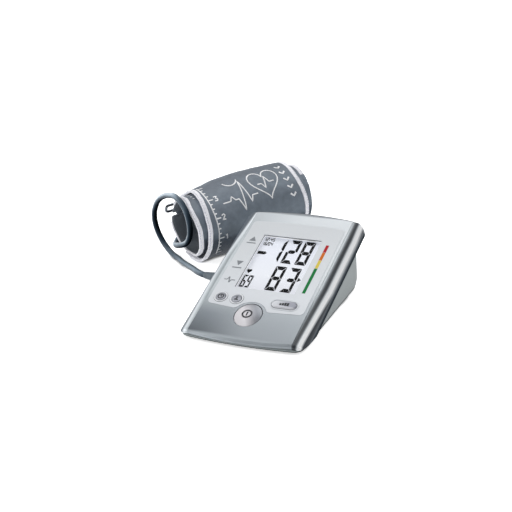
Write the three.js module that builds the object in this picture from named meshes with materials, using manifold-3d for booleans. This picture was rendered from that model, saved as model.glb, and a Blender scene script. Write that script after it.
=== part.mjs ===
import * as THREE from 'three';
import { mergeVertices } from 'three/addons/utils/BufferGeometryUtils.js';
import Module from 'manifold-3d';

const wasm = await Module();
wasm.setup();

// Sizes of the desk monitor, in mm
const FACE_TILT = 18.17;
const FACE_START_HEIGHT = 7.5;
const MONITOR_HALF_WIDTH = 62.6;
const FLAT_HALF_WIDTH = 51.05;
const RAIL_RADIUS = 9.6;
const RAIL_STEP = 0.7;
const SLAB_DEPTH = 13.5;
const FACE_FRONT = 4.9;
const FACE_REAR = 177.2;
const EDGE_BOW = 4;
const FRONT_ROUND = 3;
const REAR_ROUND = 4.8;
const CORNER_ROUND = 8;
const WALL = 2.2;
const BASE_HALF_WIDTH = 59.1;
const BASE_FRONT = 5.5;
const BASE_BOTTOM = 2.5;
const BASE_CORNER = 7;
const BASE_REAR_ROUND = 10;
const FRONT_SEAM_HEIGHT = 4.7;
const SEAM_GAP = 0.25;

// Sizes of the face
const LABEL_HALF_WIDTH = 48;
const LABEL_FRONT = 42.6;
const LABEL_REAR = 160.5;
const LABEL_THICK = 0.6;
const LABEL_RECESS = 0.4;
const WINDOW_LEFT = -29.7;
const WINDOW_RIGHT = 30.5;
const WINDOW_FRONT = 66.8;
const WINDOW_REAR = 141.8;
const POWER_U = -2;
const POWER_V = 34;
const POWER_RADIUS = 13;
const POWER_STRETCH = 1.09;
const CLOCK_U = -37.2;
const USER_U = -21;
const SMALL_V = 51.7;
const SMALL_RADIUS = 4.5;
const MEMORY_U = 26.6;
const MEMORY_LENGTH = 24;
const MEMORY_WIDTH = 9;
const BUTTON_GAP = 0.45;
const PRESS_TRAVEL = 0.8;
const BOARD_TOP = -8;
const BOARD_THICK = 1.6;

// Sizes inside the base
const CELL_RADIUS = 7.25;
const CELL_LENGTH = 50.5;
const CELL_PITCH = 14.7;
const FIRST_CELL_X = -4.35;
const BAY_LEFT = -12.2;
const BAY_RIGHT = 48;
const BAY_FRONT = 93;
const CELL_FRONT = BAY_FRONT + 3.5;
const BASE_REAR = CELL_FRONT + CELL_LENGTH + 8.5;
const BAY_TOP = 20.6;
const BAY_WALL = 2.2;
const COVER_THICK = 2;
const COVER_REAR_HEIGHT = 17;
const PUMP_X = -28;
const PUMP_Z = 18.2;
const PUMP_RADIUS = 12;
const JACK_Y = 110.5;
const JACK_Z = 11.1;

// Sizes of the arm cuff
const CUFF_TURN = 59;
const CUFF_X = -129.9;
const CUFF_Y = 163.5;
const CUFF_WIDTH = 127.7;
const INNER_START = -5;
const INNER_WIDTH = 143.2;
const INNER_SKEW = 0.113;
const INNER_RADIUS = 29.8;
const LINING_THICK = 0.5;
const BLADDER_THICK = 0.9;
const INNER_SHIFT = 1.9;
const FLAP_RADIUS = 35.3;
const FLAP_THICK = 2;
const BULGE_HEIGHT = 4.8;
const BULGE_ANGLE = 110;
const BULGE_PLACE = 60;
const TAPE_WIDTH = 5;
const TAPE_EXTRA = 0.35;
const RING_WIRE = 1.5;
const RING_RADIUS = FLAP_RADIUS + 3.2;
const HOSE_RADIUS = 3;

const rad = THREE.MathUtils.degToRad;
const group = new THREE.Group();

function toSolid(geometry) {
  let plain = geometry.index ? geometry.toNonIndexed() : geometry.clone();
  for (const key of Object.keys(plain.attributes)) {
    if (key !== 'position') plain.deleteAttribute(key);
  }
  plain = mergeVertices(plain, 1e-4);
  return new wasm.Manifold(new wasm.Mesh({
    numProp: 3,
    vertProperties: new Float32Array(plain.attributes.position.array),
    triVerts: new Uint32Array(plain.index.array),
  }));
}

function toGeometry(solid) {
  const mesh = solid.getMesh();
  const geometry = new THREE.BufferGeometry();
  geometry.setAttribute('position', new THREE.BufferAttribute(new Float32Array(mesh.vertProperties), 3));
  geometry.setIndex(new THREE.BufferAttribute(new Uint32Array(mesh.triVerts), 1));
  return geometry;
}

function join(first, ...rest) {
  return rest.reduce((sum, solid) => sum.add(solid), first);
}

function cut(first, ...rest) {
  return rest.reduce((sum, solid) => sum.subtract(solid), first);
}

function box(x0, x1, y0, y1, z0, z1) {
  const geometry = new THREE.BoxGeometry(x1 - x0, y1 - y0, z1 - z0);
  geometry.translate((x0 + x1) / 2, (y0 + y1) / 2, (z0 + z1) / 2);
  return toSolid(geometry);
}

// A round bar along z
function post(x, y, z0, z1, radius, sides = 24) {
  const geometry = new THREE.CylinderGeometry(radius, radius, z1 - z0, sides);
  geometry.rotateX(Math.PI / 2);
  geometry.translate(x, y, (z0 + z1) / 2);
  return toSolid(geometry);
}

// A flat outline given thickness along z
function plate(shape, z0, z1, curveSegments = 12) {
  const options = { depth: z1 - z0, bevelEnabled: false, curveSegments };
  const geometry = new THREE.ExtrudeGeometry(shape, options);
  geometry.translate(0, 0, z0);
  return toSolid(geometry);
}

// A profile of radius and height, turned about z
function turned(profile, sides = 40) {
  const points = profile.map(([radius, height]) => new THREE.Vector2(radius, height));
  const geometry = new THREE.LatheGeometry(points, sides);
  geometry.rotateX(Math.PI / 2);
  return geometry;
}

function stadium(cx, cy, length, width) {
  const half = (length - width) / 2;
  const shape = new THREE.Shape();
  shape.absarc(cx + half, cy, width / 2, -Math.PI / 2, Math.PI / 2, false);
  shape.absarc(cx - half, cy, width / 2, Math.PI / 2, Math.PI * 1.5, false);
  shape.closePath();
  return shape;
}

function circle(cx, cy, radius) {
  const shape = new THREE.Shape();
  shape.absarc(cx, cy, radius, 0, Math.PI * 2, false);
  return shape;
}

// A loop's own two axes, from its first corner
function flatten(point, loop) {
  const start = new THREE.Vector3(...loop[0]);
  const first = new THREE.Vector3(...loop[1]).sub(start).normalize();
  const normal = new THREE.Vector3();
  for (let i = 2; i < loop.length; i += 1) {
    const next = new THREE.Vector3(...loop[i]).sub(start);
    normal.crossVectors(first, next);
    if (normal.length() > 1e-3) break;
  }
  const second = new THREE.Vector3().crossVectors(normal.normalize(), first);
  const offset = new THREE.Vector3(...point).sub(start);
  return new THREE.Vector2(offset.dot(first), offset.dot(second));
}

// Closes a row of profile loops into one body
function skin(loops) {
  const count = loops[0].length;
  const positions = loops.flat(2);
  const index = [];
  for (let s = 0; s + 1 < loops.length; s += 1) {
    for (let i = 0; i < count; i += 1) {
      const j = (i + 1) % count;
      const a = s * count + i;
      const b = s * count + j;
      index.push(a, b, a + count, b, b + count, a + count);
    }
  }
  for (const s of [0, loops.length - 1]) {
    const flat = loops[s].map((point) => flatten(point, loops[s]));
    const turn = Math.sign(THREE.ShapeUtils.area(flat));
    for (const [a, b, c] of THREE.ShapeUtils.triangulateShape(flat, [])) {
      const same = Math.sign(THREE.ShapeUtils.area([flat[a], flat[b], flat[c]])) === turn;
      const at = s * count;
      if (same === (s > 0)) index.push(at + a, at + b, at + c);
      else index.push(at + a, at + c, at + b);
    }
  }
  const geometry = new THREE.BufferGeometry();
  geometry.setAttribute('position', new THREE.Float32BufferAttribute(positions, 3));
  geometry.setIndex(index);
  let solid = toSolid(geometry);
  if (solid.volume() < 0) {
    const turnedIndex = [];
    for (let i = 0; i < index.length; i += 3) turnedIndex.push(index[i], index[i + 2], index[i + 1]);
    geometry.setIndex(turnedIndex);
    solid = toSolid(geometry);
  }
  return solid;
}

const faceMatrix = new THREE.Matrix4()
  .makeTranslation(0, 0, FACE_START_HEIGHT)
  .multiply(new THREE.Matrix4().makeRotationX(rad(FACE_TILT)));

// From the sloping face's own frame to the monitor's
function onFace(solid) {
  return toSolid(toGeometry(solid).applyMatrix4(faceMatrix));
}

function add(name, body, color, roughness = 0.6, metalness = 0) {
  const geometry = body.isBufferGeometry ? body : toGeometry(body);
  const material = new THREE.MeshStandardMaterial({ color, roughness, metalness });
  const mesh = new THREE.Mesh(geometry, material);
  mesh.name = name;
  group.add(mesh);
  return mesh;
}

// Upper housing: a sloping slab with bowed ends and rounded side rails
function bowAt(u, half) {
  return EDGE_BOW * (1 - Math.min(1, Math.abs(u) / half) ** 2);
}

function cornerCut(u, half, radius) {
  const over = Math.abs(u) - (half - radius);
  if (over <= 0) return 0;
  return radius - Math.sqrt(Math.max(0, radius * radius - over * over));
}

function slab(inset, low) {
  const half = MONITOR_HALF_WIDTH - inset;
  const flat = FLAT_HALF_WIDTH - inset * 0.5;
  const railWidth = half - flat - 0.3;
  const railDrop = RAIL_RADIUS;
  const stations = [[0, -inset]];
  for (const part of [0.25, 0.5, 0.75, 0.9]) stations.push([flat * part, -inset]);
  stations.push([flat, -inset]);
  for (let i = 0; i <= 7; i += 1) {
    const angle = (Math.PI / 2) * (i / 7);
    const across = flat + 0.3 + railWidth * Math.sin(angle);
    stations.push([across, -inset - RAIL_STEP - railDrop * (1 - Math.cos(angle))]);
  }
  const both = [
    ...stations.slice(1).reverse().map(([u, w]) => [-u, w]),
    ...stations,
  ];
  const loops = both.map(([u, top]) => {
    const corner = cornerCut(u, half, CORNER_ROUND - inset);
    const front = FACE_FRONT + inset - bowAt(u, FLAT_HALF_WIDTH) + corner;
    const rear = FACE_REAR - inset + bowAt(u, FLAT_HALF_WIDTH) - corner;
    const room = (top - low) * 0.9;
    const frontRound = Math.min(Math.max(FRONT_ROUND - inset, 0.6), room);
    const rearRound = Math.min(Math.max(REAR_ROUND - inset, 0.6), room);
    const loop = [[u, front, low]];
    for (let i = 0; i <= 4; i += 1) {
      const angle = (Math.PI / 2) * (i / 4);
      const v = front + frontRound * (1 - Math.cos(angle));
      loop.push([u, v, top - frontRound * (1 - Math.sin(angle))]);
    }
    for (let i = 0; i <= 6; i += 1) {
      const angle = (Math.PI / 2) * (i / 6);
      const v = rear - rearRound * (1 - Math.sin(angle));
      loop.push([u, v, top - rearRound * (1 - Math.cos(angle))]);
    }
    loop.push([u, rear, low]);
    return loop;
  });
  return skin(loops);
}

const screwPlaces = [[-50, 45], [50, 45], [-50, 140], [50, 78]];
const seamAtScrew = 12;
const aboveSeam = box(-90, 90, -40, 240, FRONT_SEAM_HEIGHT + SEAM_GAP, 160);

const labelShape = new THREE.Shape();
const cutRadius = POWER_RADIUS + 3.7;
const cutRise = LABEL_FRONT - 2.3 - POWER_V;
const cutHalf = Math.sqrt(cutRadius * cutRadius - cutRise * cutRise);
const cutAngle = Math.atan2(cutRise, cutHalf);
const labelRound = 5;
const cutRound = 3;
const cutTurn = 0.2;
labelShape.moveTo(-LABEL_HALF_WIDTH, LABEL_FRONT + labelRound);
labelShape.quadraticCurveTo(
  -LABEL_HALF_WIDTH, LABEL_FRONT, -LABEL_HALF_WIDTH + labelRound, LABEL_FRONT - 0.2);
labelShape.lineTo(POWER_U - cutHalf - cutRound, POWER_V + cutRise + 0.1);
labelShape.quadraticCurveTo(
  POWER_U - cutHalf, POWER_V + cutRise,
  POWER_U - cutRadius * Math.cos(cutAngle + cutTurn), POWER_V + cutRadius * Math.sin(cutAngle + cutTurn));
labelShape.absarc(POWER_U, POWER_V, cutRadius, Math.PI - cutAngle - cutTurn, cutAngle + cutTurn, true);
labelShape.quadraticCurveTo(
  POWER_U + cutHalf, POWER_V + cutRise, POWER_U + cutHalf + cutRound, POWER_V + cutRise + 0.1);
labelShape.lineTo(LABEL_HALF_WIDTH - labelRound, LABEL_FRONT - 0.2);
labelShape.quadraticCurveTo(
  LABEL_HALF_WIDTH, LABEL_FRONT, LABEL_HALF_WIDTH, LABEL_FRONT + labelRound);
labelShape.lineTo(LABEL_HALF_WIDTH, LABEL_REAR - labelRound);
labelShape.quadraticCurveTo(
  LABEL_HALF_WIDTH, LABEL_REAR, LABEL_HALF_WIDTH - labelRound, LABEL_REAR + 0.2);
labelShape.quadraticCurveTo(
  0, LABEL_REAR + 3.2, -LABEL_HALF_WIDTH + labelRound, LABEL_REAR + 0.2);
labelShape.quadraticCurveTo(
  -LABEL_HALF_WIDTH, LABEL_REAR, -LABEL_HALF_WIDTH, LABEL_REAR - labelRound);

function windowHole(grow, z0, z1) {
  return box(WINDOW_LEFT - grow, WINDOW_RIGHT + grow, WINDOW_FRONT - grow, WINDOW_REAR + grow, z0, z1);
}

const powerHole = new THREE.Shape();
powerHole.absellipse(
  POWER_U, POWER_V, POWER_RADIUS + BUTTON_GAP, POWER_RADIUS * POWER_STRETCH + BUTTON_GAP,
  0, Math.PI * 2, false, 0);
const buttonHoles = [
  plate(powerHole, -30, 5, 40),
  plate(circle(CLOCK_U, SMALL_V, SMALL_RADIUS + BUTTON_GAP), -30, 5),
  plate(circle(USER_U, SMALL_V, SMALL_RADIUS + BUTTON_GAP), -30, 5),
  plate(stadium(MEMORY_U, SMALL_V, MEMORY_LENGTH + 2 * BUTTON_GAP, MEMORY_WIDTH + 2 * BUTTON_GAP), -30, 5),
];

let faceShell = cut(slab(0, -SLAB_DEPTH), slab(WALL, -SLAB_DEPTH - 12));
faceShell = cut(faceShell, plate(labelShape, -LABEL_RECESS, 3), windowHole(0, -30, 5), ...buttonHoles);
let upper = onFace(faceShell);
const upperFilled = onFace(slab(WALL * 0.6, -SLAB_DEPTH));
for (const [x, y] of screwPlaces) {
  const boss = post(x, y, seamAtScrew + SEAM_GAP, 90, 3.6).intersect(upperFilled);
  upper = join(upper, boss);
}
upper = upper.intersect(aboveSeam);
for (const [x, y] of screwPlaces) upper = cut(upper, post(x, y, 0, seamAtScrew + 7, 1.65, 12));
add('upper_housing', upper, 0xaab1b6, 0.38, 0.35);

// Face label with raised rings round the small buttons
let label = plate(labelShape, -LABEL_RECESS + 0.02, LABEL_THICK - LABEL_RECESS);
const labelTop = LABEL_THICK - LABEL_RECESS;
const raised = labelTop + 0.35;
for (const u of [CLOCK_U, USER_U]) {
  const ring = cut(
    plate(circle(u, SMALL_V, SMALL_RADIUS + 1.8), labelTop - 0.1, raised),
    plate(circle(u, SMALL_V, SMALL_RADIUS + 1), labelTop - 1, raised + 1),
  );
  label = join(label, ring);
}
label = join(label, cut(
  plate(stadium(MEMORY_U, SMALL_V, MEMORY_LENGTH + 3.8, MEMORY_WIDTH + 3.8), labelTop - 0.1, raised),
  plate(stadium(MEMORY_U, SMALL_V, MEMORY_LENGTH + 2.2, MEMORY_WIDTH + 2.2), labelTop - 1, raised + 1),
));
label = cut(label, windowHole(0, -5, 5), ...buttonHoles.slice(1));
add('face_label', onFace(label), 0xd3d8db, 0.45, 0.1);

// Display: lens behind the window, glass panel, holder and circuit board
const lens = windowHole(2.4, -WALL - 0.8, -WALL - 0.04);
add('display_lens', onFace(lens), 0xe9edf5, 0.08, 0);
const panelTop = -WALL - 0.9;
add('lcd_panel', onFace(windowHole(3, panelTop - 2.4, panelTop)), 0xe6e8f4, 0.3, 0);
const holderTop = panelTop - 2.5;
const holder = cut(
  join(windowHole(4.4, BOARD_TOP + 0.05, holderTop), windowHole(4.4, holderTop - 0.2, panelTop - 0.8)),
  windowHole(3.2, holderTop, 5),
  windowHole(-9, -30, 5),
);
add('lcd_holder', onFace(holder), 0xe4e4de, 0.6, 0);
const boardBottom = BOARD_TOP - BOARD_THICK;
const boardHalf = 42;
let board = box(-boardHalf, boardHalf, 22, 150, boardBottom, BOARD_TOP);
for (const [u, v] of [[-38, 26], [38, 26], [-38, 146], [38, 146]]) {
  board = cut(board, post(u, v, -30, 5, 1.6, 12));
}
add('main_board', onFace(board), 0x2f6b45, 0.55, 0);

// Standoffs from the face down to the board
for (const [name, u, v] of [
  ['board_post_1', -38, 26], ['board_post_2', 38, 26], ['board_post_3', -38, 146], ['board_post_4', 38, 146],
]) {
  const shank = join(
    post(u, v, boardBottom + 0.2, BOARD_TOP + 0.2, 1.4, 12),
    post(u, v, BOARD_TOP + 0.05, -WALL - 0.05, 3, 16),
  );
  add(name, onFace(shank), 0xd8d8d4, 0.6, 0);
}

// Push buttons, each with a flange under the face and a stem over its switch
const flangeTop = -WALL - 0.1;
const stemEnd = BOARD_TOP + 3.6;
const powerRim = 0.1;
const powerDome = 1.5;
const powerProfile = [
  [0, stemEnd], [3, stemEnd], [3, flangeTop - 1], [POWER_RADIUS + 1.4, flangeTop - 1],
  [POWER_RADIUS + 1.4, flangeTop], [POWER_RADIUS, flangeTop], [POWER_RADIUS, powerRim - 0.6],
  [POWER_RADIUS - 0.5, powerRim],
];
for (let i = 1; i <= 6; i += 1) {
  const part = 1 - i / 6;
  powerProfile.push([(POWER_RADIUS - 0.5) * part, powerRim + powerDome * (1 - part * part)]);
}
const powerCap = turned(powerProfile, 40);
powerCap.scale(1, POWER_STRETCH, 1);
powerCap.translate(POWER_U, POWER_V, 0);
add('power_button', onFace(toSolid(powerCap)), 0xc9c4c8, 0.35, 0.35);

function smallButton(u) {
  const cap = turned([
    [0, stemEnd], [1.8, stemEnd], [1.8, flangeTop - 1], [SMALL_RADIUS + 1.1, flangeTop - 1],
    [SMALL_RADIUS + 1.1, flangeTop], [SMALL_RADIUS, flangeTop], [SMALL_RADIUS, 0.5],
    [SMALL_RADIUS - 0.4, 0.85], [SMALL_RADIUS * 0.5, 1.05], [0, 1.1],
  ], 32);
  cap.translate(u, SMALL_V, 0);
  return onFace(toSolid(cap));
}
add('clock_button', smallButton(CLOCK_U), 0xd0d4d8, 0.4, 0.1);
add('user_button', smallButton(USER_U), 0xd0d4d8, 0.4, 0.1);
const memoryCap = join(
  plate(stadium(MEMORY_U, SMALL_V, MEMORY_LENGTH, MEMORY_WIDTH), flangeTop - 0.5, 0.55),
  plate(stadium(MEMORY_U, SMALL_V, MEMORY_LENGTH - 0.8, MEMORY_WIDTH - 0.8), 0.4, 0.85),
  plate(stadium(MEMORY_U, SMALL_V, MEMORY_LENGTH - 2.4, MEMORY_WIDTH - 2.4), 0.8, 1.1),
  plate(stadium(MEMORY_U, SMALL_V, MEMORY_LENGTH + 2.2, MEMORY_WIDTH + 2.2), flangeTop - 1, flangeTop),
  post(MEMORY_U, SMALL_V, stemEnd, flangeTop - 0.5, 2.2),
);
add('memory_button', onFace(memoryCap), 0xd0d4d8, 0.4, 0.1);

// Tact switches under the button stems
for (const [name, u, v] of [
  ['power_switch', POWER_U, POWER_V], ['clock_switch', CLOCK_U, SMALL_V],
  ['user_switch', USER_U, SMALL_V], ['memory_switch', MEMORY_U, SMALL_V],
]) {
  const body = join(
    box(u - 3, u + 3, v - 3, v + 3, BOARD_TOP + 0.02, BOARD_TOP + 2),
    post(u, v, BOARD_TOP + 1.9, stemEnd - PRESS_TRAVEL - 0.1, 1.7, 16),
  );
  add(name, onFace(body), 0x2b2d30, 0.5, 0.1);
}

// Sounder and pressure sensor under the board
add('sounder', onFace(post(28, 66, boardBottom - 3.2, boardBottom - 0.02, 6)), 0x202224, 0.5, 0);
const sensor = join(
  box(-34, -24, 74, 84, boardBottom - 4.2, boardBottom - 0.02),
  post(-29, 79, boardBottom - 6.4, boardBottom - 4, 1.6, 12),
);
add('pressure_sensor', onFace(sensor), 0xe0e0dc, 0.5, 0);

// Lower housing: an open tub with a shelf under the slab's rear overhang
const tiltSin = Math.sin(rad(FACE_TILT));
const tiltCos = Math.cos(rad(FACE_TILT));

function seamHeight(y, below) {
  return FACE_START_HEIGHT + (y * tiltSin - below) / tiltCos;
}

function tub(inset, below, frontTop, bottom) {
  const half = BASE_HALF_WIDTH - inset;
  const kink = ((frontTop - FACE_START_HEIGHT) * tiltCos + below) / tiltSin;
  const across = [0, 0.3, 0.55, 0.78, 0.88, 0.93, 0.965, 0.985, 1];
  const stations = [...across.slice(1).reverse().map((part) => -part), ...across];
  const loops = stations.map((part) => {
    const x = half * part;
    const corner = cornerCut(x, half, Math.max(BASE_CORNER - inset, 1));
    const front = BASE_FRONT + inset - bowAt(x, BASE_HALF_WIDTH) + corner;
    const rear = BASE_REAR - inset - corner;
    const turn = BASE_REAR_ROUND - inset;
    const loop = [[x, front, frontTop], [x, kink, frontTop], [x, rear, seamHeight(rear, below)]];
    for (let i = 0; i <= 6; i += 1) {
      const angle = (Math.PI / 2) * (i / 6);
      loop.push([x, rear - turn * (1 - Math.cos(angle)), bottom + turn * (1 - Math.sin(angle))]);
    }
    loop.push([x, front + 1.2, bottom], [x, front, bottom + 1]);
    return loop;
  });
  return skin(loops);
}

const seamBelow = SLAB_DEPTH + SEAM_GAP;
const tubOuter = tub(0, seamBelow, FRONT_SEAM_HEIGHT, BASE_BOTTOM);
const tubInner = tub(WALL, seamBelow - 30, FRONT_SEAM_HEIGHT + 0.4, BASE_BOTTOM + WALL);

function shelf(inset, low, high) {
  const half = BASE_HALF_WIDTH - inset;
  const shape = new THREE.Shape();
  const rearAt = (u) => FACE_REAR - 2.4 - inset + bowAt(u, FLAT_HALF_WIDTH)
    - cornerCut(u, half, CORNER_ROUND - inset);
  shape.moveTo(-half, 140);
  const steps = 24;
  for (let i = 0; i <= steps; i += 1) {
    const u = -half * Math.cos((Math.PI * i) / steps);
    shape.lineTo(u, rearAt(u));
  }
  shape.lineTo(half, 140);
  return onFace(plate(shape, low, high));
}

let lower = cut(tubOuter, tubInner);
lower = join(lower, cut(shelf(0, -seamBelow - 2, -seamBelow), tubInner));

// Battery bay with an opening below and behind for its cover
const bayBlock = box(BAY_LEFT - BAY_WALL, BAY_RIGHT + BAY_WALL, BAY_FRONT - BAY_WALL, BASE_REAR,
  BASE_BOTTOM, BAY_TOP + 1.6);
lower = join(lower, bayBlock.intersect(tubOuter));
const coverGap = 0.3;
lower = cut(
  lower,
  box(BAY_LEFT, BAY_RIGHT, BAY_FRONT, BASE_REAR - WALL, BASE_BOTTOM - 1, BAY_TOP),
  box(BAY_LEFT, BAY_RIGHT, BASE_REAR - 20, BASE_REAR + 5, BASE_BOTTOM - 1, COVER_REAR_HEIGHT + coverGap),
  box(BAY_LEFT - 1.2, BAY_RIGHT + 1.2, BAY_FRONT, BASE_REAR + 5, BASE_BOTTOM + 0.8, BASE_BOTTOM + 2.1),
);

// Screw bosses, pump saddle, foot recesses and the hole for the air jack
for (const [x, y] of screwPlaces) {
  const boss = cut(post(x, y, BASE_BOTTOM + 0.5, seamAtScrew, 4.4), post(x, y, 0, 40, 1.8, 12));
  lower = join(lower, boss);
  lower = cut(lower, post(x, y, 0, BASE_BOTTOM + 4.5, 3.2), post(x, y, 0, 40, 1.8, 12));
}
const pumpBottom = PUMP_Z - PUMP_RADIUS;
lower = join(lower, box(PUMP_X - 5, PUMP_X + 5, 108, 144, BASE_BOTTOM + WALL - 0.2, pumpBottom - 0.05));
const footPlaces = [[-54, 26], [54, 26], [-54, 119], [54, 119]];
const footLength = 18;
const footWidth = 6;
function footPlate(x, y, grow, z0, z1) {
  const solid = plate(stadium(0, 0, footLength + grow, footWidth + grow), z0, z1, 6);
  return solid.rotate([0, 0, 90]).translate([x, y, 0]);
}
for (const [x, y] of footPlaces) lower = cut(lower, footPlate(x, y, 0.4, 0, BASE_BOTTOM + 0.5));

function sideBar(x0, x1, y, z, radius, sides = 24) {
  const geometry = new THREE.CylinderGeometry(radius, radius, x1 - x0, sides);
  geometry.rotateZ(Math.PI / 2);
  geometry.translate((x0 + x1) / 2, y, z);
  return toSolid(geometry);
}
lower = cut(lower, sideBar(-70, -50, JACK_Y, JACK_Z, 5.2));
add('lower_housing', lower, 0x98a09f, 0.55, 0.1);

// Battery cover that wraps the lower rear edge and slides out to the rear
const coverShape = new THREE.Shape();
const coverFront = BAY_FRONT + coverGap;
const coverTurn = BASE_REAR_ROUND;
coverShape.moveTo(coverFront, BASE_BOTTOM);
coverShape.lineTo(BASE_REAR - coverTurn, BASE_BOTTOM);
coverShape.absarc(BASE_REAR - coverTurn, BASE_BOTTOM + coverTurn, coverTurn, -Math.PI / 2, 0, false);
coverShape.lineTo(BASE_REAR, COVER_REAR_HEIGHT);
coverShape.lineTo(BASE_REAR - COVER_THICK, COVER_REAR_HEIGHT);
coverShape.lineTo(BASE_REAR - COVER_THICK, BASE_BOTTOM + coverTurn);
coverShape.absarc(
  BASE_REAR - coverTurn, BASE_BOTTOM + coverTurn, coverTurn - COVER_THICK, 0, -Math.PI / 2, true);
coverShape.lineTo(coverFront, BASE_BOTTOM + COVER_THICK);
coverShape.closePath();
const coverWidth = BAY_RIGHT - BAY_LEFT - 2 * coverGap;
let cover = plate(coverShape, 0, coverWidth, 8);
cover = cover.rotate([90, 0, 90]).translate([BAY_LEFT + coverGap, 0, 0]);
cover = join(cover, box(BAY_LEFT - 0.9, BAY_RIGHT + 0.9, coverFront + 1, BASE_REAR - 14,
  BASE_BOTTOM + 1.1, BASE_BOTTOM + 1.8));
for (let i = 0; i < 6; i += 1) {
  const y = 100 + i * 3;
  const middle = (BAY_LEFT + BAY_RIGHT) / 2;
  cover = cut(cover, box(middle - 12, middle + 12, y, y + 1.2, BASE_BOTTOM - 1, BASE_BOTTOM + 0.5));
}
add('battery_cover', cover, 0x939b9a, 0.55, 0.1);

// Batteries, their contact plates, the four screws and the feet
const cellZ = BASE_BOTTOM + COVER_THICK + 0.4 + CELL_RADIUS;
for (let i = 0; i < 4; i += 1) {
  const cell = turned([
    [0, 0], [CELL_RADIUS - 0.6, 0], [CELL_RADIUS, 0.6], [CELL_RADIUS, CELL_LENGTH - 2],
    [CELL_RADIUS - 0.7, CELL_LENGTH - 1.2], [2.75, CELL_LENGTH - 1.2], [2.75, CELL_LENGTH], [0, CELL_LENGTH],
  ], 20);
  cell.rotateX(i % 2 === 0 ? -Math.PI / 2 : Math.PI / 2);
  cell.translate(FIRST_CELL_X + i * CELL_PITCH, CELL_FRONT + (i % 2 === 0 ? 0 : CELL_LENGTH), cellZ);
  add(`battery_${i + 1}`, toSolid(cell), 0x3d5b86, 0.4, 0.3);
}
const cellRear = CELL_FRONT + CELL_LENGTH;
function contact(name, x, width, y, sign, springs) {
  let sheet = box(x - width / 2, x + width / 2, y - 0.3, y + 0.3, cellZ - 5, BAY_TOP - 0.08);
  for (const at of springs) {
    const cone = turned([[0, 0], [4.2, 0], [2.2, 2.2], [0, 2.2]], 16);
    cone.rotateX(sign > 0 ? -Math.PI / 2 : Math.PI / 2);
    cone.translate(at, y + sign * 0.2, cellZ);
    sheet = join(sheet, toSolid(cone));
  }
  add(name, sheet, 0xc9c6bd, 0.3, 0.9);
}
const cellX = [0, 1, 2, 3].map((i) => FIRST_CELL_X + i * CELL_PITCH);
contact('contact_front_1', cellX[0], 10, BAY_FRONT + 0.6, 1, [cellX[0]]);
contact('contact_front_2', (cellX[1] + cellX[2]) / 2, 26, BAY_FRONT + 0.6, 1, [cellX[2]]);
contact('contact_front_3', cellX[3], 10, BAY_FRONT + 0.6, 1, []);
contact('contact_rear_1', (cellX[0] + cellX[1]) / 2, 26, cellRear + 2.9, -1, [cellX[1]]);
contact('contact_rear_2', (cellX[2] + cellX[3]) / 2, 26, cellRear + 2.9, -1, [cellX[3]]);

screwPlaces.forEach(([x, y], i) => {
  const screw = turned([
    [0, BASE_BOTTOM + 2.4], [1.1, BASE_BOTTOM + 2.4], [1.1, BASE_BOTTOM + 1.2], [2.9, BASE_BOTTOM + 1.2],
    [2.9, BASE_BOTTOM + 4.4], [1.5, BASE_BOTTOM + 4.4], [1.5, seamAtScrew + 6], [0, seamAtScrew + 6.8],
  ], 16);
  screw.translate(x, y, 0);
  add(`case_screw_${i + 1}`, toSolid(screw), 0x4a4d50, 0.35, 0.8);
});
footPlaces.forEach(([x, y], i) => {
  add(`foot_${i + 1}`, footPlate(x, y, 0, 0, BASE_BOTTOM + 0.4), 0x2c2e30, 0.85, 0);
});

// Air pump, valve and the short tube to the jack
function barAlongY(x, z, profile, sides = 32) {
  const geometry = turned(profile, sides);
  geometry.rotateX(-Math.PI / 2);
  geometry.translate(x, 0, z);
  return toSolid(geometry);
}
const pumpHead = barAlongY(PUMP_X, PUMP_Z, [
  [0, 97], [1.4, 97], [2, 98.5], [1.4, 100], [1.4, 104], [PUMP_RADIUS - 0.5, 104], [PUMP_RADIUS, 104.5],
  [PUMP_RADIUS, 119], [0, 119],
]);
add('pump_head', pumpHead, 0xdadad6, 0.5, 0);
const pumpMotor = barAlongY(PUMP_X, PUMP_Z, [
  [0, 119.1], [PUMP_RADIUS - 0.6, 119.1], [PUMP_RADIUS - 0.6, 144], [PUMP_RADIUS - 1.8, 145.2], [3, 145.2],
  [3, 147], [0, 147],
]);
add('pump_motor', pumpMotor, 0xb9bcc0, 0.3, 0.9);
add('release_valve', join(
  box(-8, 6, 58, 76, BASE_BOTTOM + WALL + 0.05, BASE_BOTTOM + WALL + 10),
  box(-6, 4, 75, 78.4, BASE_BOTTOM + WALL + 1, BASE_BOTTOM + WALL + 9),
), 0x23262a, 0.5, 0.1);

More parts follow.
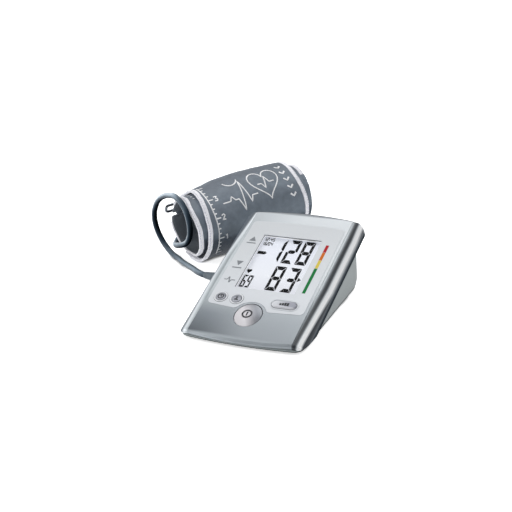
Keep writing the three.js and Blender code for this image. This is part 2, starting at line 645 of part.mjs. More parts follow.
function ringShape(radius, sides) {
  const shape = new THREE.Shape();
  for (let i = 0; i < sides; i += 1) {
    const angle = (Math.PI * 2 * i) / sides;
    if (i === 0) shape.moveTo(radius, 0);
    else shape.lineTo(radius * Math.cos(angle), radius * Math.sin(angle));
  }
  shape.closePath();
  return shape;
}
function tube(points, radius, sides, steps) {
  const path = new THREE.CatmullRomCurve3(points.map(([x, y, z]) => new THREE.Vector3(x, y, z)));
  path.curveType = 'centripetal';
  path.arcLengthDivisions = 400;
  const options = { steps, bevelEnabled: false, extrudePath: path };
  return new THREE.ExtrudeGeometry(ringShape(radius, sides), options);
}
const outerWall = -BASE_HALF_WIDTH;
const barbEnd = outerWall + WALL + 5;
const jack = cut(
  join(
    sideBar(outerWall - 1.2, outerWall - 0.1, JACK_Y, JACK_Z, 6.6, 32),
    sideBar(outerWall - 0.5, outerWall + WALL + 0.1, JACK_Y, JACK_Z, 4.9),
    sideBar(outerWall + WALL + 0.05, outerWall + WALL + 1, JACK_Y, JACK_Z, 6),
    sideBar(outerWall + WALL + 0.5, barbEnd, JACK_Y, JACK_Z, 2.2, 16),
  ),
  sideBar(outerWall - 3, outerWall + WALL - 0.5, JACK_Y, JACK_Z, 2.6, 16),
);
add('air_jack', jack, 0x9aa2a6, 0.4, 0.3);
const tubeX = PUMP_X - PUMP_RADIUS - 3;
const junction = join(
  box(tubeX - 3.5, tubeX + 8, 82, 92, BASE_BOTTOM + WALL + 0.05, JACK_Z + 4),
  barAlongY(tubeX, JACK_Z, [[0, 91], [1.8, 91], [1.8, 95], [0, 95]], 16),
);
add('air_junction', junction, 0xdadad6, 0.5, 0);
const tubeStart = barbEnd + 0.25;
const tubeAcross = tubeX - tubeStart;
const innerTube = toSolid(tube([
  [tubeStart, JACK_Y, JACK_Z],
  [tubeStart + tubeAcross * 0.26, JACK_Y, JACK_Z],
  [tubeStart + tubeAcross * 0.83, JACK_Y - 4, JACK_Z],
  [tubeStart + tubeAcross * 0.96, JACK_Y - 9.5, JACK_Z],
  [tubeX, 98, JACK_Z],
  [tubeX, 95.2, JACK_Z],
], 2.4, 10, 14));
add('inner_air_tube', innerTube, 0x4b5055, 0.6, 0);

// Arm cuff: every layer is an arc outline given its width along the cuff's axis
const tapeOuter = FLAP_RADIUS + FLAP_THICK + TAPE_EXTRA;
const cuffHeight = tapeOuter + 0.05;
const cuffAxis = new THREE.Vector3(Math.cos(rad(CUFF_TURN)), Math.sin(rad(CUFF_TURN)), 0);
const cuffAcross = new THREE.Vector3(cuffAxis.y, -cuffAxis.x, 0);
const cuffMatrix = new THREE.Matrix4()
  .makeBasis(cuffAcross, new THREE.Vector3(0, 0, 1), cuffAxis.clone().negate())
  .setPosition(CUFF_X, CUFF_Y, cuffHeight);

// The cuff's frame has x toward the near side, y up and z back along the axis
function cuffLayer(shape, start, width, curveSegments = 1) {
  const options = { depth: width, bevelEnabled: false, curveSegments };
  const geometry = new THREE.ExtrudeGeometry(shape, options);
  geometry.translate(0, 0, -start - width);
  return toSolid(geometry.applyMatrix4(cuffMatrix));
}

// The inner wrap lies a little askew, so that it reaches further out on the near side
const askew = cuffMatrix.clone().multiply(new THREE.Matrix4().set(
  1, 0, 0, 0,
  0, 1, 0, 0,
  INNER_SKEW, 0, 1, 0,
  0, 0, 0, 1,
));
function innerLayer(shape, start, width) {
  const geometry = new THREE.ExtrudeGeometry(shape, { depth: width, bevelEnabled: false, curveSegments: 1 });
  geometry.translate(0, 0, -start - width);
  return toSolid(geometry.applyMatrix4(askew));
}

function onCircle(radius, angle) {
  return new THREE.Vector2(radius * Math.cos(rad(angle)), radius * Math.sin(rad(angle)));
}

function arcBand(r0, r1, from, to, shift = 0, step = 7.5) {
  const count = Math.max(2, Math.round(Math.abs(to - from) / step));
  const centre = new THREE.Vector2(shift, shift);
  const angles = Array.from({ length: count + 1 }, (_, i) => from + ((to - from) * i) / count);
  const outside = angles.map((angle) => onCircle(r1, angle).add(centre));
  const inside = angles.map((angle) => onCircle(r0, angle).add(centre)).reverse();
  return new THREE.Shape([...outside, ...inside]);
}

const layerGap = 0.1;
const innerFrom = 173;
const innerTo = innerFrom + 332;
const liningOut = INNER_RADIUS + LINING_THICK;
const bladderIn = liningOut + layerGap;
const bladderOut = bladderIn + BLADDER_THICK;
const coverIn = bladderOut + layerGap;
const coverOut = coverIn + LINING_THICK;
const innerBody = INNER_WIDTH - 2 * TAPE_WIDTH;
const bodyStart = INNER_START + TAPE_WIDTH;
add('cuff_lining', innerLayer(arcBand(INNER_RADIUS, liningOut, innerFrom, innerTo, INNER_SHIFT),
  bodyStart + 0.1, innerBody - 0.2), 0x3a3d40, 0.9, 0);
add('air_bladder', innerLayer(arcBand(bladderIn, bladderOut, innerFrom + 6, innerTo - 90, INNER_SHIFT),
  bodyStart + 3, innerBody - 6), 0x55585b, 0.8, 0);
add('cuff_cover', innerLayer(arcBand(coverIn, coverOut, innerFrom, innerTo, INNER_SHIFT),
  bodyStart + 0.1, innerBody - 0.2), 0x626a71, 0.85, 0);
const innerTape = arcBand(
  INNER_RADIUS - 0.25, coverOut + 0.25, innerFrom, innerTo, INNER_SHIFT);
add('inner_tape_left', innerLayer(innerTape, INNER_START, TAPE_WIDTH), 0xdcdae2, 0.8, 0);
add('inner_tape_right', innerLayer(innerTape, INNER_START + INNER_WIDTH - TAPE_WIDTH, TAPE_WIDTH),
  0xdcdae2, 0.8, 0);

// Outer flap, with its fold round one bar of the wire ring
const flapFrom = -115;
const flapTo = 141;
const flapSteps = 40;
const ringBarA = 168;
const ringBarB = 156;
const barA = onCircle(RING_RADIUS, ringBarA);
const barB = onCircle(RING_RADIUS, ringBarB);
function band(points, thick) {
  const left = [];
  const right = [];
  points.forEach((point, i) => {
    const before = points[Math.max(0, i - 1)];
    const after = points[Math.min(points.length - 1, i + 1)];
    const along = after.clone().sub(before).normalize();
    const side = new THREE.Vector2(-along.y, along.x).multiplyScalar(thick / 2);
    left.push(point.clone().add(side));
    right.push(point.clone().sub(side));
  });
  return new THREE.Shape([...left, ...right.reverse()]);
}

// The loose flap stands off the inner wrap over the top, most in the middle of its width
function flapBulge(angle, s) {
  const away = angle < BULGE_ANGLE ? (BULGE_ANGLE - angle) / 90 : (angle - BULGE_ANGLE) / 45;
  if (away >= 1) return 0;
  const rise = Math.sin((Math.PI / 2) * Math.min(1, s / BULGE_PLACE)) ** 2;
  const fall = Math.max(0, (s - BULGE_PLACE) / (CUFF_WIDTH - BULGE_PLACE)) ** 2;
  return BULGE_HEIGHT * (0.2 + 0.8 * rise - 0.6 * fall) * 0.5 * (1 + Math.cos(Math.PI * away));
}

function flapLayer(shape, start, width, steps) {
  const options = { depth: width, steps, bevelEnabled: false, curveSegments: 1 };
  const geometry = new THREE.ExtrudeGeometry(shape, options);
  geometry.translate(0, 0, -start - width);
  const spots = geometry.attributes.position;
  for (let i = 0; i < spots.count; i += 1) {
    const spot = new THREE.Vector2(spots.getX(i), spots.getY(i));
    const angle = (Math.atan2(spot.y, spot.x) * 180) / Math.PI;
    spot.setLength(spot.length() + flapBulge(angle, -spots.getZ(i)));
    spots.setXY(i, spot.x, spot.y);
  }
  return toSolid(geometry.applyMatrix4(cuffMatrix));
}

const flapMiddle = FLAP_RADIUS + FLAP_THICK / 2;
const flapPath = [];
for (let i = 0; i <= flapSteps; i += 1) {
  flapPath.push(onCircle(flapMiddle, flapFrom + ((flapTo - flapFrom) * i) / flapSteps));
}
const foldRadius = RING_WIRE + 0.25 + FLAP_THICK / 2;
for (let i = 0; i <= 5; i += 1) {
  const angle = ringBarB - 60 + i * 36;
  flapPath.push(barB.clone().add(onCircle(foldRadius, angle)));
}
flapPath.push(onCircle(coverOut + 0.9, ringBarB + 0.5), onCircle(coverOut - 0.8, ringBarB - 5.5));
const flapBody = CUFF_WIDTH - 2 * TAPE_WIDTH - 0.2;
add('cuff_flap', flapLayer(band(flapPath, FLAP_THICK), TAPE_WIDTH + 0.1, flapBody, 5), 0x5f676e, 0.85, 0);
const flapTape = band(flapPath.slice(0, flapSteps + 1), FLAP_THICK + 2 * TAPE_EXTRA);
add('flap_tape_left', flapLayer(flapTape, 0, TAPE_WIDTH, 1), 0xdcdae2, 0.8, 0);
add('flap_tape_right', flapLayer(flapTape, CUFF_WIDTH - TAPE_WIDTH, TAPE_WIDTH, 1), 0xdcdae2, 0.8, 0);
add('hook_patch', cuffLayer(arcBand(FLAP_RADIUS - 1.5, FLAP_RADIUS - 0.1, -113, -80), 22, 84),
  0x2b2e31, 0.95, 0);

// Wire ring that the cuff is threaded through, and its stitched sleeve
const ringStart = -6.5;
const ringEnd = 135;
const ringBend = 3;
const ringSpan = barB.distanceTo(barA);
const ringAcross = barB.clone().sub(barA).normalize();
const ringNormal = new THREE.Vector3(-ringAcross.y, ringAcross.x, 0);
function ringPoint(bars, along) {
  const spot = barA.clone().addScaledVector(ringAcross, bars);
  return new THREE.Vector3(spot.x, spot.y, -along);
}
const ringMiddle = (ringStart + ringEnd) / 2;
const ringPath = [ringPoint(0, ringMiddle - 0.1)];
const ringCorners = [
  [0, ringStart, 180], [ringSpan, ringStart, 270], [ringSpan, ringEnd, 0], [0, ringEnd, 90],
];
for (const [bars, along, first] of ringCorners) {
  const centreBars = bars === 0 ? ringBend : bars - ringBend;
  const centreAlong = along === ringStart ? along + ringBend : along - ringBend;
  for (let i = 0; i <= 4; i += 1) {
    const turn = onCircle(ringBend, first + (90 * i) / 4);
    ringPath.push(ringPoint(centreBars + turn.x, centreAlong + turn.y));
  }
}
ringPath.push(ringPoint(0, ringMiddle + 0.1));
const ringLoops = ringPath.map((point, i) => {
  const before = ringPath[Math.max(0, i - 1)];
  const after = ringPath[Math.min(ringPath.length - 1, i + 1)];
  const along = after.clone().sub(before).normalize();
  const side = new THREE.Vector3().crossVectors(ringNormal, along).normalize();
  return Array.from({ length: 8 }, (_, k) => {
    const angle = (Math.PI * 2 * k) / 8;
    return point.clone().addScaledVector(side, RING_WIRE * Math.cos(angle))
      .addScaledVector(ringNormal, RING_WIRE * Math.sin(angle)).toArray();
  });
});
add('d_ring', toSolid(toGeometry(skin(ringLoops)).applyMatrix4(cuffMatrix)), 0xb8bcc0, 0.25, 0.95);

const sleeve = new THREE.Shape();
sleeve.absarc(barA.x, barA.y, RING_WIRE + 1.3, 0, Math.PI * 2, false);
const sleeveHole = new THREE.Path();
sleeveHole.absarc(barA.x, barA.y, RING_WIRE + 0.25, 0, Math.PI * 2, true);
sleeve.holes.push(sleeveHole);
const sleeveTail = band(
  [onCircle(RING_RADIUS - 2.2, ringBarA + 1.5), onCircle(coverOut - 0.55, ringBarA + 4)], 1.6);
add('ring_sleeve', join(cuffLayer(sleeve, 4, 119, 8), cuffLayer(sleeveTail, 4, 119)), 0x565e65, 0.85, 0);

// Air hose with its elbow on the cuff and its plug at the monitor
const elbowAngle = 198;
const hoseLift = coverOut + 6.6;
const elbowSpot = new THREE.Vector2(Math.cos(rad(elbowAngle)), Math.sin(rad(elbowAngle)));
function cuffBar(radius, from, to, lift, sides = 16) {
  const geometry = new THREE.CylinderGeometry(radius, radius, to - from, sides);
  geometry.rotateX(Math.PI / 2);
  geometry.translate(
    INNER_SHIFT + elbowSpot.x * lift, INNER_SHIFT + elbowSpot.y * lift, -(from + to) / 2);
  return toSolid(geometry.applyMatrix4(cuffMatrix));
}
function cuffStem(radius, low, high, along, sides = 16) {
  const geometry = new THREE.CylinderGeometry(radius, radius, high - low, sides);
  geometry.rotateZ(rad(elbowAngle) - Math.PI / 2);
  const middle = (low + high) / 2;
  geometry.translate(
    INNER_SHIFT + elbowSpot.x * middle, INNER_SHIFT + elbowSpot.y * middle, -along);
  return toSolid(geometry.applyMatrix4(cuffMatrix));
}
const elbow = join(
  cuffStem(7, coverOut + 0.1, coverOut + 1.5, 44, 24),
  cuffStem(3.6, coverOut + 1, hoseLift, 44),
  cuffBar(4, 31, 48.5, hoseLift),
);
add('cuff_elbow', elbow, 0x4f565c, 0.6, 0);
const plugEnd = outerWall - 16.8;
const plug = join(
  sideBar(plugEnd, outerWall - 9, JACK_Y, JACK_Z, 4.6, 28),
  sideBar(outerWall - 9.5, outerWall - 1.35, JACK_Y, JACK_Z, 6, 28),
  sideBar(outerWall - 2, outerWall + 0.8, JACK_Y, JACK_Z, 2.3, 16),
);
add('hose_plug', plug, 0x70787e, 0.45, 0.1);

const elbowFace = new THREE.Vector3(
  INNER_SHIFT + elbowSpot.x * hoseLift, INNER_SHIFT + elbowSpot.y * hoseLift, -30.7,
).applyMatrix4(cuffMatrix);
const hoseIntoCuff = cuffAxis.clone().multiplyScalar(-5);
const hoseRoute = [
  [plugEnd - 0.3, JACK_Y, JACK_Z],
  [plugEnd - 2.5, JACK_Y, JACK_Z],
  [-88.5, 112.5, 10.8],
  [-98, 118, 9.7],
  [-111.5, 129.5, 7.5],
  [-122, 138.5, 5.5],
  [-133, 147.5, 4],
  [-143.5, 156.5, 3.3],
  [-155, 164.5, 3.6],
  [-166, 172, 7],
  [-175.5, 177, 15.5],
  [-181, 179, 28],
  [-180.5, 177.5, 41.5],
  [-175, 173.5, 53.5],
  [-166.5, 167.5, 63.5],
  [-156.5, 161.5, 70.5],
  [-145, 155, 75],
  [-133, 148, 76],
  [-122.5, 142.5, 69.5],
  [-116, 138.5, 58],
  [-115.5, 138.5, 44.5],
  [-121, 142.5, 32.5],
  [-130, 149, 24.5],
  [-141, 156, 19],
  [-151, 166, 15],
  [-155, 178.5, 15.5],
  [-154, 192, 23],
];
const hoseEnd = elbowFace.clone().add(hoseIntoCuff);
hoseRoute.push(hoseEnd.toArray(), elbowFace.toArray());
add('air_hose', toSolid(tube(hoseRoute, HOSE_RADIUS, 8, 56)), 0x5b6a78, 0.45, 0);

// The origin is the middle of the object's footprint, on the table
const cordNames = ['air_hose', 'hose_plug'];
const extent = new THREE.Box3();
for (const mesh of group.children) {
  mesh.geometry.computeVertexNormals();
  if (!cordNames.includes(mesh.name)) extent.expandByObject(mesh);
}
const middle = extent.getCenter(new THREE.Vector3());
group.position.set(-middle.x, -middle.y, -extent.min.z);
group.updateMatrixWorld(true);

export default group;
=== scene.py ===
import math

import bmesh
import bpy
from mathutils import Matrix, Vector, noise


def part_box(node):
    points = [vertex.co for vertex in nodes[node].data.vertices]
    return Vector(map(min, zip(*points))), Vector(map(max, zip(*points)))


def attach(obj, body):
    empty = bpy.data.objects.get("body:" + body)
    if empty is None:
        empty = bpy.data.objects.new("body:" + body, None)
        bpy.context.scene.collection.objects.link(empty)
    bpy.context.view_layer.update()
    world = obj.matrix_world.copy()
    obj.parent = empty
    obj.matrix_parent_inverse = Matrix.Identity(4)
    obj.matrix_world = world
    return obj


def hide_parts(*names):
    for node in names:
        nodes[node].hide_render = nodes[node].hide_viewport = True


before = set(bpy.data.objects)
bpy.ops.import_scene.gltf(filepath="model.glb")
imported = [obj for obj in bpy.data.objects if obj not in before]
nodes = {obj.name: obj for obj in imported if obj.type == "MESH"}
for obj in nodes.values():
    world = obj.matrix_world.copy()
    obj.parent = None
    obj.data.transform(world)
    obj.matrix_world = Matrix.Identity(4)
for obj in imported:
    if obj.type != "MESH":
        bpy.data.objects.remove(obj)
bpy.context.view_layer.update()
MM = 0.001

# Where things stand. The monitor's own frame has x across it, y from its front edge to the back and
# z up. Its place is read from the two front feet.
left_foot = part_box("foot_1")
right_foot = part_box("foot_2")
foot_y = 26 * MM
monitor = Vector((
    (left_foot[0].x + right_foot[1].x) / 2,
    (left_foot[0].y + left_foot[1].y) / 2 - foot_y,
    0,
))
face_tilt = math.radians(18.17)
face_start_height = 7.5 * MM


def on_face(u, v, w=0.0):
    """A point of the sloping face: u across, v up the slope, w out of it, in millimetres."""
    return monitor + Vector((
        u * MM,
        v * MM * math.cos(face_tilt) - w * MM * math.sin(face_tilt),
        face_start_height + v * MM * math.sin(face_tilt) + w * MM * math.cos(face_tilt),
    ))


# Camera. It stands to the right of the monitor and looks down on its face, a little tilted, at the
# photograph's viewing angle.
camera_turn = math.radians(26.83)
camera_height = math.radians(23.58)
camera_tilt = math.radians(-4.62)
camera_distance = 0.9606
camera_aim = monitor + Vector((-7.1, 67.5, 60.5)) * MM

camera_back = Vector((
    math.sin(camera_turn) * math.cos(camera_height),
    -math.cos(camera_turn) * math.cos(camera_height),
    math.sin(camera_height),
))
level_right = Vector((math.cos(camera_turn), math.sin(camera_turn), 0))
level_up = camera_back.cross(level_right)
camera_right = level_right * math.cos(camera_tilt) + level_up * math.sin(camera_tilt)
camera_up = level_up * math.cos(camera_tilt) - level_right * math.sin(camera_tilt)
camera_place = Matrix((camera_right, camera_up, camera_back)).transposed().to_4x4()
camera_place.translation = camera_aim + camera_back * camera_distance

camera = bpy.data.objects.new("camera", bpy.data.cameras.new("camera"))
camera.data.lens = 74.04
camera.data.sensor_width = 36
camera.data.clip_start = 0.05
camera.data.clip_end = 20
camera.matrix_world = camera_place
bpy.context.scene.collection.objects.link(camera)
bpy.context.scene.camera = camera
bpy.context.scene.view_settings.view_transform = "Standard"


# Air hose. A smooth grey-blue rubber tube, 6 mm thick, that leaves the monitor's left side, runs
# along the table, rises in one curl and ends in the elbow on the cuff's far side.
def place(tree, kind, sockets=(), **settings):
    """A shader or geometry node with its settings, and its sockets set or wired."""
    made = tree.nodes.new(kind)
    for name, value in settings.items():
        setattr(made, name, value)
    for name, value in dict(sockets).items():
        if isinstance(value, bpy.types.NodeSocket):
            tree.links.new(value, made.inputs[name])
        else:
            made.inputs[name].default_value = value
    return made


def maths(tree, operation, *values):
    """The result of a sum on numbers or sockets."""
    return place(tree, "ShaderNodeMath", enumerate(values), operation=operation).outputs[0]


def product(tree, colour, factor):
    """A colour multiplied by a factor or by another colour."""
    return place(tree, "ShaderNodeVectorMath", {0: colour, 1: factor}, operation="MULTIPLY").outputs[0]


def mapped(tree, value, span, results=(0.0, 1.0), **settings):
    """A value carried from one span to another, and held at its ends."""
    return place(tree, "ShaderNodeMapRange", {
        "Value": value, "From Min": span[0], "From Max": span[1],
        "To Min": results[0], "To Max": results[1]}, **settings).outputs[0]


def shade(value):
    """A colour written as on a screen, such as 7c848a, as the shader's own."""
    parts = [int(value[i:i + 2], 16) / 255 for i in (0, 2, 4)]
    return [c / 12.92 if c <= 0.04045 else ((c + 0.055) / 1.055) ** 2.4 for c in parts] + [1]


def ramp(tree, value, stops):
    """Colours along a value, each stop given at its real place on it."""
    low, high = stops[0][0], stops[-1][0]
    made = place(tree, "ShaderNodeValToRGB", {"Fac": mapped(tree, value, (low, high))})
    places = made.color_ramp.elements
    while len(places) < len(stops):
        places.new(0.5)
    for stop, (at, colour) in zip(places, stops):
        stop.position = (at - low) / (high - low)
        stop.color = shade(colour)
    return made.outputs["Color"]


def height_above_table(tree):
    """How high a point lies, in metres."""
    spot = place(tree, "ShaderNodeTexCoord").outputs["Object"]
    return place(tree, "ShaderNodeSeparateXYZ", {0: spot}).outputs["Z"]


def finish_of(name, colour, **values):
    """A material of one Principled shader with plain values, its tree and the shader."""
    material = bpy.data.materials.new(name)
    material.use_nodes = True
    tree = material.node_tree
    shader = tree.nodes["Principled BSDF"]
    shader.inputs["Base Color"].default_value = shade(colour)
    for socket, value in values.items():
        shader.inputs[socket.replace("_", " ")].default_value = value
    return material, tree, shader


def shader_group(name, inputs, outputs):
    """An empty shader node group, the sockets that bring its inputs and those that take its outputs."""
    group = bpy.data.node_groups.new(name, "ShaderNodeTree")
    for label, value in inputs.items():
        kind = "NodeSocketFloat" if isinstance(value, float) else "NodeSocketVector"
        group.interface.new_socket(label, in_out="INPUT", socket_type=kind).default_value = value
    for label in outputs:
        group.interface.new_socket(label, in_out="OUTPUT", socket_type="NodeSocketFloat")
    return group, group.nodes.new("NodeGroupInput").outputs, group.nodes.new("NodeGroupOutput").inputs


def grain_group():
    """Fine speckle of a moulded or painted surface: a light and dark factor, and a height."""
    group, given, wanted = shader_group("fine grain", {"Size": 0.4, "Strength": 0.1}, ["Factor", "Height"])
    spot = place(group, "ShaderNodeTexCoord").outputs["Object"]
    speck = place(group, "ShaderNodeTexNoise", {
        "Vector": spot, "Scale": maths(group, "DIVIDE", 1000.0, given["Size"]),
        "Detail": 3.0, "Roughness": 0.7}).outputs["Fac"]
    cloud = place(group, "ShaderNodeTexNoise", {"Vector": spot, "Scale": 22.0, "Detail": 2.0}).outputs["Fac"]
    speck_part = mapped(group, speck, (0.3, 0.7), (-1.0, 1.0))
    cloud_part = mapped(group, cloud, (0.3, 0.7), (-0.5, 0.5))
    both = maths(group, "ADD", speck_part, cloud_part)
    group.links.new(maths(group, "MULTIPLY_ADD", both, given["Strength"], 1.0), wanted["Factor"])
    group.links.new(speck, wanted["Height"])
    return group


fine_grain = grain_group()


def add_surface(tree, shader, colour, height, strength, depth):
    """Gives a shader its colour, and a bump from a height, its depth in millimetres."""
    bump = place(tree, "ShaderNodeBump", {"Height": height, "Strength": strength, "Distance": depth * MM})
    tree.links.new(colour, shader.inputs["Base Color"])
    tree.links.new(bump.outputs[0], shader.inputs["Normal"])


def add_grain(tree, shader, colour, size, strength, depth):
    """Multiplies a colour by the speckle and gives the surface its bump."""
    grain = place(tree, "ShaderNodeGroup", {"Size": size, "Strength": strength}, node_tree=fine_grain)
    speckled = product(tree, colour, grain.outputs["Factor"])
    add_surface(tree, shader, speckled, grain.outputs["Height"], 0.35, depth)


def colour_of(tree, value):
    """One colour as a socket."""
    colour = place(tree, "ShaderNodeRGB").outputs[0]
    colour.default_value = shade(value)
    return colour


def plain_finish(name, colour, size, strength, depth, **values):
    """A grained material of one colour."""
    material, tree, shader = finish_of(name, colour, **values)
    add_grain(tree, shader, colour_of(tree, colour), size, strength, depth)
    return material


def tube(name, radius, roundness, kind, count):
    """A round tube's curve and its knots, which are still to be placed."""
    curve = bpy.data.curves.new(name, "CURVE")
    curve.dimensions = "3D"
    curve.bevel_depth = radius
    curve.bevel_resolution = roundness
    curve.use_fill_caps = True
    line = curve.splines.new(kind)
    line.use_smooth = True
    knots = line.bezier_points if kind == "BEZIER" else line.points
    knots.add(count - 1)
    return curve, knots


def add_piece(name, data, material, replaced=(), body="monitor_and_cuff"):
    """Puts a finished mesh or curve into the scene, on its body, and hides the nodes it replaces."""
    data.materials.append(material)
    made = bpy.data.objects.new(name, data)
    bpy.context.scene.collection.objects.link(made)
    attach(made, body)
    if replaced:
        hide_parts(*replaced)
    return made


plug_y, plug_height = 110.5, 11.1
hose_points = [
    (-76.2, plug_y, plug_height), (-78.4, plug_y, plug_height), (-88.5, 112.5, 10.8), (-98, 118, 9.7),
    (-111.5, 129.5, 7.5), (-122, 138.5, 5.5), (-133, 147.5, 4), (-143.5, 156.5, 3.3),
    (-155, 164.5, 3.6), (-166, 172, 7), (-175.5, 177, 15.5), (-181, 179, 28),
    (-180.5, 177.5, 41.5), (-175, 173.5, 53.5), (-166.5, 167.5, 63.5), (-156.5, 161.5, 70.5),
    (-145, 155, 75), (-133, 148, 76), (-122.5, 142.5, 69.5), (-116, 138.5, 58),
    (-115.5, 138.5, 44.5), (-121, 142.5, 32.5), (-130, 149, 24.5), (-141, 156, 19),
    (-151, 166, 15), (-155, 178.5, 15.5), (-154, 192, 23), (-146.4, 203.4, 27.7),
    (-143.9, 207.7, 27.7),
]
hose_radius = 3 * MM
hose_curve, hose_knots = tube("air_hose_tube", hose_radius, 6, "BEZIER", len(hose_points))
hose_curve.resolution_u = 10
for knot, point in zip(hose_knots, hose_points):
    knot.co = monitor + Vector(point) * MM
    knot.handle_left_type = "AUTO"
    knot.handle_right_type = "AUTO"

hose_rubber, tree, shader = finish_of("hose rubber", "4a5763", Roughness=0.36)
# Painted light: the hose's colour runs from painted shade on the side turned away from the upper left to a
# painted highlight on the side facing up and to the left, a little lighter higher up. Its gloss is strongest
# on that same painted lit side.
painted_light_facing = place(tree, "ShaderNodeVectorMath", {
    0: place(tree, "ShaderNodeNewGeometry").outputs["Normal"], 1: (-0.85, 0.1, 0.5)},
    operation="DOT_PRODUCT").outputs["Value"]
painted_light_higher_up = mapped(tree, height_above_table(tree), (20 * MM, 66 * MM), (0.0, 0.28))
painted_light_side = maths(tree, "ADD", painted_light_facing, painted_light_higher_up)
hose_painted_light = ramp(tree, painted_light_side, [
    (-0.6, "0c1115"), (-0.1, "2b3641"), (0.35, "46535f"), (0.6, "5a6874"), (0.76, "94a4b1"),
    (0.96, "d3dee8")])
add_grain(tree, shader, hose_painted_light, 0.5, 0.05, 0.02)
hose_gloss = mapped(tree, painted_light_side, (0.0, 0.8), (0.0, 0.3))
tree.links.new(hose_gloss, shader.inputs["Specular IOR Level"])
air_hose = add_piece("air_hose_tube", hose_curve, hose_rubber, ["air_hose"])


def smooth_group():
    """Welds a faceted solid's corners and shades it smooth, but for edges that turn sharply."""
    group = bpy.data.node_groups.new("smooth moulded faces", "GeometryNodeTree")
    group.interface.new_socket("Geometry", in_out="INPUT", socket_type="NodeSocketGeometry")
    limit = group.interface.new_socket("Sharp from", in_out="INPUT", socket_type="NodeSocketFloat")
    limit.default_value = 0.55
    group.interface.new_socket("Geometry", in_out="OUTPUT", socket_type="NodeSocketGeometry")
    given = group.nodes.new("NodeGroupInput").outputs
    wanted = group.nodes.new("NodeGroupOutput").inputs
    plain = place(group, "GeometryNodeRemoveAttribute", {
        "Geometry": given["Geometry"], "Name": "custom_normal"})
    welded = place(group, "GeometryNodeMergeByDistance", {
        "Geometry": plain.outputs[0], "Distance": 0.002 * MM})
    turn = place(group, "GeometryNodeInputMeshEdgeAngle")
    gentle = place(group, "FunctionNodeCompare", {
        0: turn.outputs["Unsigned Angle"], 1: given["Sharp from"]}, operation="LESS_THAN")
    faces = place(group, "GeometryNodeSetShadeSmooth", {
        "Geometry": welded.outputs[0], "Shade Smooth": True}, domain="FACE")
    edges = place(group, "GeometryNodeSetShadeSmooth", {
        "Geometry": faces.outputs[0], "Shade Smooth": gentle.outputs[0]}, domain="EDGE")
    group.links.new(edges.outputs[0], wanted["Geometry"])
    return group


smooth_faces = smooth_group()


def dress(node, material, sharp_from=0.55):
    """Gives a CAD node its material and smooth shading."""
    solid = nodes[node]
    solid.data.materials.clear()
    solid.data.materials.append(material)
    smoothing = solid.modifiers.new("smooth moulded faces", "NODES")
    smoothing.node_group = smooth_faces
    smoothing["Socket_1"] = sharp_from
    weighted = solid.modifiers.new("large faces stay flat", "WEIGHTED_NORMAL")
    weighted.keep_sharp = True


hose_fitting = plain_finish("hose fittings", "5f6a73", 0.4, 0.06, 0.03, Roughness=0.5)
dress("hose_plug", hose_fitting)
dress("cuff_elbow", hose_fitting)


def strain_relief(name, route, thick_end, thin_end):
    """A ribbed rubber sleeve that tapers along the hose from a fitting: rings of a changing radius."""
    rings = 15
    sleeve_curve, knots = tube(name, 1 * MM, 5, "POLY", rings)
    steps = [(Vector(b) - Vector(a)).length for a, b in zip(route, route[1:])]
    for k, knot in enumerate(knots):
        away = sum(steps) * k / (rings - 1)
        part = 0
        while part < len(steps) - 1 and away > steps[part]:
            away -= steps[part]
            part += 1
        spot = Vector(route[part]).lerp(Vector(route[part + 1]), away / steps[part])
        knot.co = (*(monitor + spot * MM), 1)
        groove = 0.45 if k % 3 == 2 else 0
        knot.radius = thick_end + (thin_end - thick_end) * k / (rings - 1) - groove
    add_piece(name, sleeve_curve, hose_fitting)


strain_relief("plug_strain_relief", [(-75.5, plug_y, plug_height), *hose_points[1:3]], 4.9, 3.4)
strain_relief(
    "elbow_strain_relief", [(-143.6, 208.2, 27.7), hose_points[-2], (-150.6, 197.2, 25.6)], 4.7, 3.4)


# Table, backdrop and lamps. They aren't part of the object: a pale table that keeps the shadow, a
# white surround, one large soft lamp above and behind, and two weaker ones in front and on the right.
half, below = 6, -0.4 * MM
corners = [(-half, -half, below), (half, -half, below), (half, half, below), (-half, half, below)]
table_mesh = bpy.data.meshes.new("table_top")
table_mesh.from_pydata(corners, [], [(0, 1, 2, 3)])
table_top = bpy.data.objects.new("table_top", table_mesh)
bpy.context.scene.collection.objects.link(table_top)

table_white, tree, shader = finish_of("table white", "e9ebec", Roughness=0.9, Specular_IOR_Level=0.1)
rays = place(tree, "ShaderNodeLightPath").outputs
seen = maths(tree, "MAXIMUM", rays["Is Camera Ray"], rays["Is Glossy Ray"])
near_object = place(tree, "ShaderNodeAmbientOcclusion", {"Distance": 0.004}, samples=8).outputs["AO"]
open_table = mapped(tree, near_object, (0.2, 0.6), (0.0, 0.8))
shader.inputs["Emission Color"].default_value = (1, 1, 1, 1)
tree.links.new(maths(tree, "MULTIPLY", seen, open_table), shader.inputs["Emission Strength"])
table_mesh.materials.append(table_white)

world = bpy.data.worlds.new("white surround")
world.use_nodes = True
bpy.context.scene.world = world
tree = world.node_tree
rays = place(tree, "ShaderNodeLightPath").outputs
shown_white = maths(tree, "MAXIMUM", rays["Is Camera Ray"], rays["Is Transmission Ray"])
backdrop = tree.nodes["Background"]
backdrop.inputs["Color"].default_value = (1, 1, 1, 1)
tree.links.new(mapped(tree, shown_white, (0.0, 1.0), (0.5, 1.0)), backdrop.inputs["Strength"])


def lamp(name, place_at, aim_at, size, power):
    """A square soft lamp that points at a place."""
    light = bpy.data.lights.new(name, "AREA")
    light.shape = "SQUARE"
    light.size = size
    light.energy = power
    made = bpy.data.objects.new(name, light)
    made.location = place_at
    made.rotation_mode = "QUATERNION"
    made.rotation_quaternion = (Vector(aim_at) - Vector(place_at)).to_track_quat("-Z", "Y")
    bpy.context.scene.collection.objects.link(made)


